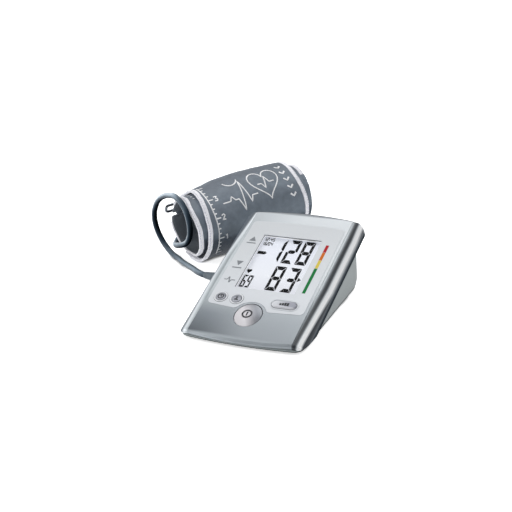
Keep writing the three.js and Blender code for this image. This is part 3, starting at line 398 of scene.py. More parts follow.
lamp("lamp_above", (-0.25, 0.75, 1.25), (0, 0, 0.03), 0.9, 8.5)
lamp("lamp_front_left", (-1.1, -0.7, 0.7), (-0.05, 0, 0.03), 0.5, 8)
lamp("lamp_right", (1.3, -0.1, 0.75), (0.1, 0, 0.03), 0.4, 3)


# Upper housing. One moulding in satin silver paint, finely grained all over: a sloping slab whose two
# side rails step down from the flat and roll over. The rails' dark and bright bands are painted
# reflections, and the flat and the sides carry painted light and shade.
face_directions = {
    "Across": (1, 0, 0),
    "Up the slope": (0, math.cos(face_tilt), math.sin(face_tilt)),
    "Out": (0, -math.sin(face_tilt), math.cos(face_tilt)),
}


def face_measure(tree, name):
    """How far a point lies from the face's front edge in one of its directions, in millimetres."""
    spot = place(tree, "ShaderNodeTexCoord").outputs["Object"]
    away = place(tree, "ShaderNodeVectorMath", {0: spot, 1: on_face(0, 0)}, operation="SUBTRACT").outputs[0]
    return place(tree, "ShaderNodeVectorMath", {
        0: away, 1: Vector(face_directions[name]) / MM}, operation="DOT_PRODUCT").outputs["Value"]


face_place, given, wanted = shader_group("place on the face", {}, face_directions)
for name in face_directions:
    face_place.links.new(face_measure(face_place, name), wanted[name])


def at_face(tree, name):
    """The same measure from the shared group, for colours."""
    return place(tree, "ShaderNodeGroup", {}, node_tree=face_place).outputs[name]


def mixed(tree, factor, first, second):
    """The first colour where the factor is 0, the second where it is 1."""
    return place(tree, "ShaderNodeMix", {"Factor": factor, 6: first, 7: second}, data_type="RGBA").outputs[2]


def add_painted_glow(tree, shader, colour, strength):
    """Painted light: a faint glow of a surface's own, though it is no lamp, whose strength may change over
    it.
    """
    tree.links.new(product(tree, colour, strength), shader.inputs["Emission Color"])
    shader.inputs["Emission Strength"].default_value = 1.0


# The paint measures its place with its own nodes, because its gloss follows from that place too.
silver_paint, tree, shader = finish_of("silver paint", "a9b0b5", Roughness=0.36)
across, up, out = [face_measure(tree, name) for name in face_directions]
# Painted light and shade on the flat: darker towards the front and more so on the left, a painted highlight
# along the front edge and painted shade where the back edge rolls away.
flat_left_painted_light = ramp(tree, up, [
    (4.5, "adb4ba"), (7.5, "545b62"), (30, "767e85"), (60, "b4bbbf"), (95, "b4bbbf"), (150, "9ca3a8"),
    (173.8, "a2a8ad"), (175.2, "7b8187"), (176.6, "63696f")])
flat_right_painted_light = ramp(tree, up, [
    (4.5, "969da3"), (7.5, "888f95"), (30, "8f969c"), (60, "9fa5ab"), (95, "b6bcbf"), (150, "b1b6ba"),
    (173.8, "b3b8bc"), (175.2, "7b8187"), (176.6, "63696f")])
to_right = mapped(tree, across, (-50.0, 10.0), interpolation_type="SMOOTHSTEP")
paint_and_painted_light = mixed(tree, to_right, flat_left_painted_light, flat_right_painted_light)

# Painted reflections: each rail's colour is a row of dark and bright bands across it, bowed to follow the
# rail.
rails_from = 51.0
rail_bow = mapped(tree, up, (15.0, 80.0), (2.5, 0.0))
right_bow = mapped(tree, up, (150.0, 172.0), (rail_bow, 0.7))
rail_right_painted_reflection = ramp(tree, maths(tree, "ADD", across, right_bow), [
    (51.1, "ccd2d5"), (52.2, "a9b0b4"), (53.0, "7d848a"), (54.6, "262c32"), (56.2, "1f252a"),
    (57.2, "4c5258"), (58.8, "eef2f5"), (60.9, "ffffff"), (61.8, "a9aeb3"), (62.4, "34393f")])
left_bow = mapped(tree, up, (106.0, 172.0), (rail_bow, 6.6))
left_place = maths(tree, "SUBTRACT", left_bow, across)
rail_left_painted_reflection = ramp(tree, left_place, [
    (51.2, "a5adb1"), (52.6, "9aa2a6"), (54.0, "b0b8bd"), (57.0, "e6ecf1"), (58.4, "d9dfe5"),
    (59.2, "a3aaaf"), (60.0, "737a80"), (61.2, "656c73"), (62.4, "636b74"), (66, "616972")])
paint_and_painted_light = mixed(tree, maths(tree, "GREATER_THAN", across, rails_from), paint_and_painted_light, rail_right_painted_reflection)
paint_and_painted_light = mixed(tree, maths(tree, "LESS_THAN", across, -rails_from), paint_and_painted_light, rail_left_painted_reflection)

side_from = 62.3
from_middle = maths(tree, "ABSOLUTE", across)
on_side = maths(tree, "GREATER_THAN", from_middle, side_from)
# Painted shade: the slab's sides are painted dark below the rails' overhang.
side_painted_shade = ramp(tree, out, [
    (-15, "363c42"), (-13, "2e343a"), (-11.5, "363c42"), (-10, "4a5056"), (-8.5, "6a7076")])
paint_and_painted_light = mixed(tree, on_side, paint_and_painted_light, side_painted_shade)

# Painted light in the display window: the walls inside it are painted white and glow faintly, with a thin
# line of painted shade just below the window's rim.
window_half, window_middle, window_reach = 45.0, 104.5, 45.0
under_flat = maths(tree, "LESS_THAN", from_middle, window_half)
near_window = maths(tree, "COMPARE", up, window_middle, window_reach)
inside_shell = maths(tree, "LESS_THAN", out, -0.25)
window_wall_area = maths(tree, "MULTIPLY", inside_shell, maths(tree, "MULTIPLY", under_flat, near_window))
window_wall_painted_light = ramp(tree, out, [(-1.35, "ffffff"), (-1.2, "464b51")])
paint_and_painted_light = mixed(tree, window_wall_area, paint_and_painted_light, window_wall_painted_light)
add_grain(tree, shader, paint_and_painted_light, 0.35, 0.05, 0.02)
add_painted_glow(tree, shader, window_wall_painted_light, maths(tree, "MULTIPLY", window_wall_area, 0.3))

left_gloss = mapped(tree, left_place, (58.6, 60.4), (0.5, 0.1))
gloss = maths(tree, "MULTIPLY", left_gloss, maths(tree, "SUBTRACT", 1.0, on_side))
tree.links.new(gloss, shader.inputs["Specular IOR Level"])
tree.links.new(maths(tree, "MULTIPLY", gloss, 0.4), shader.inputs["Metallic"])
dress("upper_housing", silver_paint, 0.45)


# Face label. A satin silver foil stuck in a shallow recess, with the colour scale beside the window
# and small marks printed on it. The prints are thin layers that lie on the foil.
def mesh_of(name, build):
    """The mesh of a finished build, its faces turned outward."""
    bmesh.ops.recalc_face_normals(build, faces=build.faces[:])
    mesh = bpy.data.meshes.new(name)
    build.to_mesh(mesh)
    build.free()
    return mesh


def flat_piece(name, outlines, height, thick, material, body="monitor_and_cuff"):
    """Outlines on the face, each a list of corners, filled and given a thickness below their height."""
    build = bmesh.new()
    corners = {}
    for outline in outlines:
        loop = []
        for u, v in outline:
            key = (round(u, 4), round(v, 4))
            if key not in corners:
                corners[key] = build.verts.new(on_face(u, v, height))
            loop.append(corners[key])
        build.faces.new(loop)
    mesh = mesh_of(name, build)
    if mesh.polygons[0].normal.z < 0:
        mesh.flip_normals()
    made = add_piece(name, mesh, material, body=body)
    layer = made.modifiers.new("thickness", "SOLIDIFY")
    layer.thickness = thick * MM
    layer.offset = -1


def rectangle(u0, u1, v0, v1):
    """Four corners of an upright rectangle on the face."""
    return [(u0, v0), (u1, v0), (u1, v1), (u0, v1)]


def ring_strip(u, v, radius, width, steps):
    """A ring, as four-cornered pieces side by side."""
    quads = []
    for i in range(steps):
        angles = [2 * math.pi * k / steps for k in (i, i + 1)]
        rims = [(radius - width / 2, radius + width / 2), (radius + width / 2, radius - width / 2)]
        quads.append([
            (u + r * math.cos(a), v + r * math.sin(a))
            for a, pair in zip(angles, rims) for r in pair])
    return quads


def stroke(points, width):
    """A line of even width through some points, as four-cornered pieces."""
    quads = []
    for (u0, v0), (u1, v1) in zip(points, points[1:]):
        long = math.hypot(u1 - u0, v1 - v0)
        du, dv = -(v1 - v0) / long * width / 2, (u1 - u0) / long * width / 2
        quads.append([(u0 + du, v0 + dv), (u0 - du, v0 - dv), (u1 - du, v1 - dv), (u1 + du, v1 + dv)])
    return quads


def disc(u, v, radius, steps):
    """A filled circle."""
    turns = [2 * math.pi * k / steps for k in range(steps)]
    return [(u + radius * math.cos(t), v + radius * math.sin(t)) for t in turns]


def heart(size, steps):
    """A heart's outline from its usual curve, round its own middle."""
    points = []
    for k in range(steps):
        t = 2 * math.pi * k / steps
        x = 16 * math.sin(t) ** 3
        y = 13 * math.cos(t) - 5 * math.cos(2 * t) - 2 * math.cos(3 * t) - math.cos(4 * t)
        points.append((x * size / 32, y * size / 30))
    return points


label_foil, tree, shader = finish_of("label foil", "d4d8dc", Roughness=0.45, Metallic=0.1)
# Painted shade: the foil's colour darkens a little up the slope.
foil_painted_shade = ramp(tree, at_face(tree, "Up the slope"), [
    (40, "c9cdd2"), (60, "cdd1d6"), (110, "c5c9cd"), (160, "bcc0c4")])
add_grain(tree, shader, foil_painted_shade, 0.3, 0.02, 0.01)
dress("face_label", label_foil, 0.5)

label_top = 0.2
print_top = label_top + 0.04
print_thick = 0.05
scale_u = 38.4
scale_half = 1.55
band_gap = 0.15
for name, colour, v0, v1 in (
        ("scale_red", "a9121c", 125.8, 136.4), ("scale_orange", "c9681a", 114.7, 125.8),
        ("scale_yellow", "d4c052", 103.5, 114.7), ("scale_green", "0c7236", 69.4, 103.5)):
    ink = plain_finish(
        name.replace("_", " ") + " ink", colour, 0.3, 0.03, 0.01, Roughness=0.6, Specular_IOR_Level=0.15)
    band = rectangle(scale_u - scale_half, scale_u + scale_half, v0 + band_gap, v1 - band_gap)
    flat_piece(name, [band], print_top, print_thick, ink)

grey_ink = plain_finish("grey ink", "70757b", 0.3, 0.05, 0.01, Roughness=0.5)
mark_u = -38.6
upper_mark = [[(mark_u - 3.6, 131.0), (mark_u + 3.6, 131.0), (mark_u, 137.6)],
              rectangle(mark_u - 4.8, mark_u + 4.8, 127.4, 128.8)]
lower_mark = [[(mark_u - 3.6, 101.6), (mark_u, 95.0), (mark_u + 3.6, 101.6)],
              rectangle(mark_u - 4.8, mark_u + 4.8, 91.4, 92.8)]
beat = [(-5.6, 0), (-2.6, 0), (-1.2, 3.8), (0.5, -3.8), (1.8, 0), (5.6, 0)]
beat_mark = stroke([(mark_u + u, 75.0 + v) for u, v in beat], 1.1)
for name, outlines in (
        ("label_upper_mark", upper_mark), ("label_lower_mark", lower_mark), ("label_beat_mark", beat_mark)):
    flat_piece(name, outlines, print_top, print_thick, grey_ink)


# Display. A clear lens behind the window, and under it a near-white liquid crystal panel with black
# segments for plain numbers. The segments lie on the panel's upper face.
lens_clear, tree, shader = finish_of("lens", "30343a", Roughness=0.05, Alpha=0.02)
dress("display_lens", lens_clear)

lcd_white, tree, shader = finish_of("liquid crystal", "eef0f8", Roughness=0.5, Emission_Strength=0.18)
# Painted light: the panel glows faintly though it is no lamp, and its colour is a little darker towards the
# window's top and bottom edges, painted shade.
lcd_painted_light = ramp(tree, at_face(tree, "Up the slope"), [
    (66, "d3d5dd"), (90, "dfe2e9"), (125, "dcdfe9"), (139, "d6dae4")])
add_grain(tree, shader, lcd_painted_light, 0.5, 0.012, 0.005)
tree.links.new(lcd_painted_light, shader.inputs["Emission Color"])
dress("lcd_panel", lcd_white)

digit_black = plain_finish(
    "segment black", "08090c", 0.5, 0.05, 0.005, Roughness=0.7, Specular_IOR_Level=0.1)
lit_segments = {
    0: "abcdef", 1: "bc", 2: "abged", 3: "abgcd", 4: "fgbc", 5: "afgcd", 6: "afgedc", 7: "abc",
    8: "abcdefg", 9: "abfgcd"}


def digit(number, left, bottom, width, height, bar, stem, gap):
    """The lit segments of one seven-segment digit, as outlines: level bars and upright stems."""
    top, middle = height, height / 2
    shapes = {
        "a": [(gap, top), (stem + gap, top - bar), (width - stem - gap, top - bar), (width - gap, top)],
        "g": [(stem / 2 + gap, middle), (stem + gap, middle - bar / 2),
              (width - stem - gap, middle - bar / 2), (width - stem / 2 - gap, middle),
              (width - stem - gap, middle + bar / 2), (stem + gap, middle + bar / 2)],
        "f": [(0, top - gap), (0, middle + gap), (stem / 2, middle + gap),
              (stem, middle + bar / 2 + gap), (stem, top - bar - gap)],
    }
    shapes["d"] = [(x, height - y) for x, y in shapes["a"]]
    shapes["e"] = [(x, height - y) for x, y in shapes["f"]]
    shapes["b"] = [(width - x, y) for x, y in shapes["f"]]
    shapes["c"] = [(width - x, height - y) for x, y in shapes["f"]]
    return [[(left + x, bottom + y) for x, y in shapes[name]] for name in lit_segments[number]]


panel_top = -3.06
segment_thick = 0.03
large = dict(width=11.2, height=33.2, bar=4.9, stem=2.9, gap=0.36)
small = dict(width=4.7, height=16.6, bar=2.3, stem=1.45, gap=0.18)
tiny = dict(width=2.1, height=4.9, bar=0.95, stem=0.7, gap=0.05)
digit_rows = [
    (large, 108.4, [(1, -15.2), (2, -0.8), (8, 13.5)]),
    (large, 70.7, [(8, -2.3), (3, 12.6)]),
    (small, 70.7, [(6, -28.6), (9, -23.4)]),
    (tiny, 136.5, [(1, -29.2), (2, -26.6), (4, -22.8), (5, -20.2)]),
    (tiny, 130.3, [(1, -29.2), (6, -26.6), (0, -22.8), (4, -20.2)]),
]
segments = []
for size, bottom, figures in digit_rows:
    for number, left in figures:
        segments += digit(number, left, bottom, **size)
flat_piece("display_segments", segments, panel_top, segment_thick, digit_black)
dots = [disc(-23.7, 138.0, 0.45, 8), disc(-23.7, 139.9, 0.45, 8)]
slash = stroke([(-24.2, 130.2), (-23.2, 135.3)], 0.7)
full_heart = [(-26.4 + u, 93.0 + v * 1.25) for u, v in heart(5.2, 28)]
battery_sign = [rectangle(-28.6, -20.6, 117.4, 121.6), rectangle(-20.6, -19.5, 118.5, 120.5)]
arrow = [(24.5, 85.8), (28.0, 88.8), (24.9, 91.8)]
marks = dots + slash + battery_sign + [full_heart, arrow]
flat_piece("display_marks", marks, panel_top, segment_thick, digit_black)


# Push buttons. Four moulded caps: a large domed start button in pinkish silver, two small round ones
# and a long one in paler silver, each with a printed pictogram that travels with it.
start_paint, tree, shader = finish_of("start button paint", "c6c2c6", Roughness=0.34, Metallic=0.3)
# Painted light: across the dome the colour runs from a painted highlight on the lower left to painted shade
# on the upper right.
slanting = maths(tree, "MULTIPLY_ADD", at_face(tree, "Up the slope"), 0.6, at_face(tree, "Across"))
start_painted_light = ramp(tree, slanting, [
    (7, "dcdade"), (13.5, "dfdde1"), (18, "bab8bd"), (23.5, "85868c"), (28, "6f7279"), (32, "7d8187")])
add_grain(tree, shader, start_painted_light, 0.35, 0.04, 0.015)
dress("power_button", start_paint, 0.6)

cap_paint, tree, shader = finish_of("small button paint", "b4b8bd", Roughness=0.4, Metallic=0.15)
# Painted shade: the small caps are painted darker towards their upper side.
cap_painted_shade = ramp(tree, at_face(tree, "Up the slope"), [
    (47.6, "a5a7af"), (50.5, "a9acb5"), (53.5, "7f828b"), (56, "6b6e77")])
add_grain(tree, shader, cap_painted_shade, 0.35, 0.04, 0.015)
dress("clock_button", cap_paint, 0.6)
dress("user_button", cap_paint, 0.6)

memory_paint, tree, shader = finish_of("memory button paint", "b4b8bd", Roughness=0.4, Metallic=0.15)
# Painted light: the long cap is painted darker towards its right end, with a painted highlight along its
# lower edge.
memory_painted_shade_along = ramp(tree, at_face(tree, "Across"), [
    (16, "c6c8cd"), (21, "b7b9bf"), (29, "9395a0"), (36, "898c97")])
memory_painted_highlight_edge = mapped(tree, at_face(tree, "Up the slope"), (48.4, 50.2), (1.0, 0.0))
memory_painted_light = mixed(tree, memory_painted_highlight_edge, memory_painted_shade_along, shade("c4c5ca"))
add_grain(tree, shader, memory_painted_light, 0.35, 0.04, 0.015)
dress("memory_button", memory_paint, 0.6)

mark_black = plain_finish("mark black", "1d2025", 0.3, 0.05, 0.01, Roughness=0.6)
start_u, start_v = -2.8, 34.0
start_mark = ring_strip(start_u, start_v + 0.1, 4.3, 1.5, 40)
start_mark += stroke([(start_u, start_v - 2.4), (start_u, start_v + 2.6)], 1.3)
flat_piece("power_mark", start_mark, 1.64, 0.2, mark_black, "power_cap")

clock_u, user_u, memory_u, small_v = -37.2, -21.0, 26.6, 51.7
small_top = 1.14
small_thick = 0.12
clock_mark = ring_strip(clock_u, small_v, 2.6, 1.0, 28)
clock_mark += stroke(
    [(clock_u, small_v + 1.8), (clock_u, small_v - 0.3), (clock_u + 1.5, small_v - 0.3)], 0.9)
shoulders = [(user_u - 2.1, small_v - 2.2), (user_u + 2.1, small_v - 2.2)]
for turn in range(20, 161, 20):
    shoulders.append((
        user_u + 2.1 * math.cos(math.radians(turn)), small_v - 2.1 + 1.9 * math.sin(math.radians(turn))))
user_mark = [disc(user_u, small_v + 1.3, 1.05, 16), shoulders]
memory_mark = [
    rectangle(memory_u - 4.7 + 2.4 * k, memory_u - 2.7 + 2.4 * k, small_v - 1.2, small_v + high)
    for k, high in enumerate((1.4, 1.9, 2.4, 2.4))]
for name, outlines in (("clock", clock_mark), ("user", user_mark), ("memory", memory_mark)):
    flat_piece(name + "_mark", outlines, small_top, small_thick, mark_black, name + "_cap")

# Painted light round the two small buttons: a white ring laid on the label's raised ring as its painted
# highlight, and a thin grey ring just outside it as its painted shade.
painted_highlight_white = plain_finish("painted highlight white", "e4e6ea", 0.3, 0.02, 0.01, Roughness=0.5)
painted_highlight_top = label_top + 0.39
painted_highlight_rings = ring_strip(clock_u, small_v, 5.95, 0.9, 32) + ring_strip(user_u, small_v, 5.95, 0.9, 32)
flat_piece("label_button_painted_highlights", painted_highlight_rings, painted_highlight_top, print_thick, painted_highlight_white)
rims = ring_strip(clock_u, small_v, 6.6, 0.4, 32) + ring_strip(user_u, small_v, 6.6, 0.4, 32)
flat_piece("label_button_painted_shade_rims", rims, print_top, print_thick, grey_ink)


# Lower housing. A tub in grey plastic with a fine spark-eroded texture, closed below by the battery
# cover, four rubber feet and four dark screws. The air socket sits in its left wall.
tub_grey, tree, shader = finish_of("tub grey", "959c9c", Roughness=0.55)
tub_side_from = 57.5
# Painted shade: the tub's sides are painted dark under the rail's overhang.
under_rail_painted_shade = ramp(tree, at_face(tree, "Out"), [
    (-22, "9aa1a2"), (-20.3, "868c8f"), (-18.7, "6c7277"), (-17.2, "565c62")])
on_side = maths(tree, "GREATER_THAN", maths(tree, "ABSOLUTE", at_face(tree, "Across")), tub_side_from)
tub_colour_and_painted_shade = mixed(tree, on_side, shade("9aa1a2"), under_rail_painted_shade)
# Painted shadow: the tub is painted dark along its bottom, next to the table.
painted_table_shadow = ramp(tree, height_above_table(tree), [
    (2.4 * MM, "4a4f53"), (3.6 * MM, "6d7275"), (4.3 * MM, "ffffff")])
add_grain(tree, shader, product(tree, tub_colour_and_painted_shade, painted_table_shadow), 0.5, 0.06, 0.05)
tub_gloss = mapped(tree, face_measure(tree, "Out"), (-22.5, -20.0), (0.5, 0.0))
tree.links.new(tub_gloss, shader.inputs["Specular IOR Level"])
for name in ("lower_housing", "battery_cover", "air_jack"):
    dress(name, tub_grey, 0.5)

foot_rubber = plain_finish("foot rubber", "2b2d30", 0.6, 0.15, 0.06, Roughness=0.8)
screw_steel = plain_finish("screw steel", "6a6d71", 0.3, 0.1, 0.02, Roughness=0.35, Metallic=0.9)
for number in range(1, 5):
    dress(f"foot_{number}", foot_rubber)
    dress(f"case_screw_{number}", screw_steel)


# Inside the housings. Board, switches, pump, valve and contacts in the colours such parts have, and
# four cells in plain wrap. They show only with the battery cover off.
inside = [
    ("white moulding", "dcdcd6", 0.5, 0, ("lcd_holder", "board_post", "pump_head", "air_junction",
                                          "pressure_sensor")),
    ("board mask", "2f6b45", 0.4, 0, ("main_board",)),
    ("black moulding", "222427", 0.5, 0, ("power_switch", "clock_switch", "user_switch", "memory_switch",
                                          "sounder", "release_valve")),
    ("rolled steel", "b9bcc0", 0.3, 0.9, ("pump_motor",)),
    ("nickelled steel", "c9c6bd", 0.3, 0.9, ("contact_",)),
    ("cell wrap", "3d5b86", 0.35, 0.2, ("battery_1", "battery_2", "battery_3", "battery_4")),
    ("inner tube rubber", "4b5055", 0.6, 0, ("inner_air_tube",)),
]
for name, colour, roughness, metallic, first_words in inside:
    inner = plain_finish(name, colour, 0.5, 0.05, 0.02, Roughness=roughness, Metallic=metallic)
    for node in nodes:
        if node.startswith(first_words):
            dress(node, inner)


# Inner wrap. The cuff's inner turn: woven nylon, slate grey outside and charcoal inside, with the air
# bladder between, rolled into a tube. Each layer is thin closed cloth with the soft creases it takes.
cuff_turn = math.radians(59)
cuff_middle = monitor + Vector((-129.9, 163.5, 37.7)) * MM
cuff_axis = Vector((math.cos(cuff_turn), math.sin(cuff_turn), 0))
cuff_near = Vector((cuff_axis.y, -cuff_axis.x, 0))


def on_cuff(x, y, s):
    """A point of the cuff, in millimetres: x towards the monitor, y up, s along the axis from the hose."""
    return cuff_middle + (cuff_near * x + Vector((0, 0, 1)) * y + cuff_axis * s) * MM


def round_cuff(radius, angle, shift=0.0):
    """A point of a circle round the cuff's axis, its centre moved towards near and up alike."""
    turn = math.radians(angle)
    return Vector((radius * math.cos(turn) + shift, radius * math.sin(turn) + shift))


def arc_path(radius, start, end, steps, shift=0.0):
    """Points along an arc round the cuff's axis."""
    return [round_cuff(radius, start + (end - start) * i / steps, shift) for i in range(steps + 1)]


def weave_group():
    """A plain weave from the cloth's own coordinates in millimetres: a factor and a height."""
    group, given, wanted = shader_group(
        "plain weave", {"Cloth": (0, 0, 0), "Thread": 0.5}, ["Factor", "Height"])
    parts = place(group, "ShaderNodeSeparateXYZ", {0: given["Cloth"]}).outputs
    per_thread = maths(group, "DIVIDE", math.pi, given["Thread"])
    warp, weft = [
        maths(group, "SINE", maths(group, "MULTIPLY", parts[axis], per_thread)) for axis in ("X", "Y")]
    over = maths(group, "MULTIPLY", warp, weft)
    uneven = place(group, "ShaderNodeTexNoise", {
        "Vector": given["Cloth"], "Scale": 0.16, "Detail": 3.0}).outputs["Fac"]
    worn = mapped(group, uneven, (0.3, 0.7), (0.9, 1.1))
    group.links.new(maths(group, "MULTIPLY_ADD", over, 0.06, worn), wanted["Factor"])
    group.links.new(over, wanted["Height"])
    return group


plain_weave = weave_group()


def cloth_finish(name, colour, roughness, sheen, thread, depth, painted_light_tones=None):
    """A woven material whose threads follow the piece's own UV map, in millimetres. The painted light
    tones, where it has them, follow how far the surface faces up, from -1 below to 1 on top."""
    material, tree, shader = finish_of(
        name, colour, Roughness=roughness, Specular_IOR_Level=0.2, Sheen_Weight=sheen, Sheen_Roughness=0.4)
    cloth = place(tree, "ShaderNodeUVMap", {}, uv_map="cloth").outputs[0]
    weave = place(tree, "ShaderNodeGroup", {"Cloth": cloth, "Thread": thread}, node_tree=plain_weave).outputs
    toned = colour_of(tree, colour)
    if painted_light_tones:
        facing = place(tree, "ShaderNodeNewGeometry").outputs["Normal"]
        upward = place(tree, "ShaderNodeSeparateXYZ", {0: facing}).outputs["Z"]
        toned = product(tree, toned, ramp(tree, upward, painted_light_tones))
    add_surface(tree, shader, product(tree, toned, weave["Factor"]), weave["Height"], 0.5, depth)
    return material


# Painted light and shade on the slate nylon: darker on the underside and where the top turns away, with a
# painted highlight band on the upper side.
nylon_outside = cloth_finish("slate nylon", "808a95", 0.5, 0.05, 0.5, 0.08, [
    (-0.8, "6c7580"), (-0.41, "77808b"), (-0.24, "9ba2aa"), (-0.1, "e6e8ea"), (0.0, "f4f5f6"),
    (0.15, "f2f3f4"), (0.4, "e0e2e4"), (0.6, "efeff0"), (0.72, "ffffff"), (0.9, "ececec"),
    (0.97, "d6d6d8"), (1.0, "c8c8ca")])
nylon_inside = cloth_finish("charcoal nylon", "7b8189", 0.7, 0.2, 0.6, 0.1)


def lengths(path):
    """How far along a path each of its points lies."""
    along = [0.0]
    for a, b in zip(path, path[1:]):
        along.append(along[-1] + (b - a).length)
    return along


def outward(path, i):
    """The direction square to a path at one of its points, away from the cuff's axis."""
    direction = (path[min(i + 1, len(path) - 1)] - path[max(i - 1, 0)]).normalized()
    return Vector((direction.y, -direction.x))


def cloth_face(build, cloth, corners):
    """A smooth face, each corner a vertex with its place across and along the cloth."""
    face = build.faces.new([corner[0] for corner in corners])
    face.smooth = True
    for loop, corner in zip(face.loops, corners):
        loop[cloth].uv = corner[1:]


def cloth_layer(name, path, thick, left_rim, right_rim, columns, crease, material, slot, *replaced):
    """A strip of cloth of even thickness, its middle on a path in the cuff's cross-section. The rims say
    where it starts and ends along the axis at a point of the path, and crease(s, along) moves a point out
    of the cloth's middle, away from the cuff's axis, all in millimetres."""
    along = lengths(path)
    last = len(path) - 1
    build = bmesh.new()
    cloth = build.loops.layers.uv.new("cloth")
    layers = []
    for face_side in (1, -1):
        grid = []
        for j in range(columns + 1):
            row = []
            for i, point in enumerate(path):
                first = left_rim(point, along[i])
                s = first + (right_rim(point, along[i]) - first) * j / columns
                lift = crease(s, along[i]) + face_side * thick / 2
                if i in (0, last) or j in (0, columns):
                    lift -= face_side * thick * 0.12
                spot = point + outward(path, i) * lift
                row.append((build.verts.new(on_cuff(spot.x, spot.y, s)), s, along[i]))
            grid.append(row)
        layers.append(grid)
    top, below = layers
    for j in range(columns):
        for i in range(last):
            cloth_face(build, cloth, (top[j][i], top[j + 1][i], top[j + 1][i + 1], top[j][i + 1]))
            cloth_face(build, cloth, (below[j][i], below[j][i + 1], below[j + 1][i + 1], below[j + 1][i]))
        cloth_face(build, cloth, (top[j][0], below[j][0], below[j + 1][0], top[j + 1][0]))
        cloth_face(build, cloth, (top[j + 1][last], below[j + 1][last], below[j][last], top[j][last]))
    for i in range(last):
        cloth_face(build, cloth, (top[0][i + 1], below[0][i + 1], below[0][i], top[0][i]))
        cloth_face(build, cloth, (
            top[columns][i], below[columns][i], below[columns][i + 1], top[columns][i + 1]))
    return add_piece(name, mesh_of(name, build), material, replaced)


wrap_shift = 1.9
wrap_start, wrap_end = 173.0, 525.0
cover_radius, cover_thick, cover_back = 31.45, 0.8, 3.5
lining_radius, lining_thick, lining_back = 30.3, 1.0, 1.4
steps_round, steps_across = 190, 60
wrap_far_rim, wrap_skew = 138.2, 0.113
wrap_rim_places = [
    (0, -8.8), (50, -10.8), (90, -6.6), (117, -4.0), (150, -4.6), (180, -6.5), (225, -4.6), (270, -2.6),
    (315, -7.0), (360, -8.8)]


def wrap_left_rim(point, along):
    """The inner wrap's rim on the hose side. It lies askew and draws back where it dips to the table."""
    angle = math.degrees(math.atan2(point.y - wrap_shift, point.x - wrap_shift)) % 360
    for (a0, s0), (a1, s1) in zip(wrap_rim_places, wrap_rim_places[1:]):
        if angle <= a1:
            return s0 + (s1 - s0) * 0.5 * (1 - math.cos(math.pi * (angle - a0) / (a1 - a0)))
    return wrap_rim_places[0][1]


def wrap_right_rim(point, along):
    """The inner wrap's rim on the far side, askew in the same way."""
    return wrap_far_rim - wrap_skew * point.x


def wrap_crease(s, along):
    """Shallow creases of the inner wrap, deeper near its bound edges."""
    edge = min(s + 4, 135 - s)
    return (0.25 * noise.noise(Vector((s / 26, along / 17, 3.1)))
            + 0.12 * math.exp(-max(edge, 0) / 9) * math.sin(along / 1.7))


wrap_cover = cloth_layer(
    "wrap_cover", arc_path(cover_radius, wrap_start, wrap_end, steps_round, wrap_shift), cover_thick,
    lambda point, along: wrap_left_rim(point, along) + cover_back,
    lambda point, along: wrap_right_rim(point, along) - cover_back,
    steps_across, lambda s, along: wrap_crease(s, along) - 0.1, nylon_outside,
    "cuff_nylon", "cuff_cover")
wrap_lining = cloth_layer(
    "wrap_lining", arc_path(lining_radius, wrap_start, wrap_end, steps_round, wrap_shift), lining_thick,
    lambda point, along: wrap_left_rim(point, along) + lining_back,
    lambda point, along: wrap_right_rim(point, along) - lining_back,
    steps_across, lambda s, along: 1.4 * wrap_crease(s, along), nylon_inside,
    "cuff_inside", "cuff_lining", "air_bladder")


# Cuff flap. The outer turn of the same nylon, folded back round one bar of the wire ring and sewn to
# the inner wrap, with a white line print on its outside.
flap_radius, flap_thick, flap_width = 36.3, 2.0, 127.7
flap_start, flap_end = -115.0, 141.0
ring_radius, ring_wire = 38.5, 1.5
ring_bar_a, ring_bar_b = 168.0, 156.0
crown_angle, crown_s, crown_height = 110, 60, 4.8


def kept(value):
    """A value held between 0 and 1."""
    return max(0.0, min(1.0, value))


def near(angle, middle, spread):
    """1 at an angle and less away from it, both in degrees round the cuff's axis."""
    away = (angle - middle + 180) % 360 - 180
    return math.exp(-(away / spread) ** 2)


def flap_angle(along):
    """How far round the cuff's axis a place along the flap lies, in degrees."""
    return flap_start + math.degrees(along / flap_radius)


def flap_left_rim(point, along):
    """The flap cloth's rim on the hose side, which draws back from the table to the top."""
    rise = kept((flap_angle(along) + 5) / 110)
    return 4.6 + 6.2 * rise * rise * (3 - 2 * rise)


def flap_right_rim(point, along):
    """The flap cloth's rim on the far side, which draws in towards the upper near side."""
    return 123.1 - 2.6 * near(flap_angle(along), 58, 38)


def flap_crease(s, along):
    """The flap's bulge over the top, soft diagonal creases, and puckers beside its bound ends."""
    angle = flap_angle(along)
    between_ends = kept((along - 2) / 12) * kept((158 - along) / 10)
    away = kept(abs(angle - crown_angle) / (90 if angle < crown_angle else 45))
    rise = math.sin(math.pi / 2 * kept(s / crown_s)) ** 2
    fall = max(0.0, (s - crown_s) / (flap_width - crown_s)) ** 2
    bulge = crown_height * (0.2 + 0.8 * rise - 0.6 * fall) * 0.5 * (1 + math.cos(math.pi * away))
    dents = 0.9 * near(angle, -34, 18) + 3.2 * near(angle, 122, 26)
    mouth = (1.8 * near(angle, 12, 17) + 0.8 * near(angle, 84, 15) - dents) * kept((40 - s) / 35)
    broad = 0.7 * noise.noise(Vector((s / 34, along / 21, 0.7)))
    slanting = 0.4 * noise.noise(Vector(((s + along * 0.8) / 11, (along - s * 0.5) / 33, 5.2)))
    near_edge = max(min(s, flap_width - s), 0)
    pucker = 0.18 * math.exp(-near_edge / 8) * math.sin(along / 1.45)
    return between_ends * (bulge + mouth + broad + slanting + pucker)


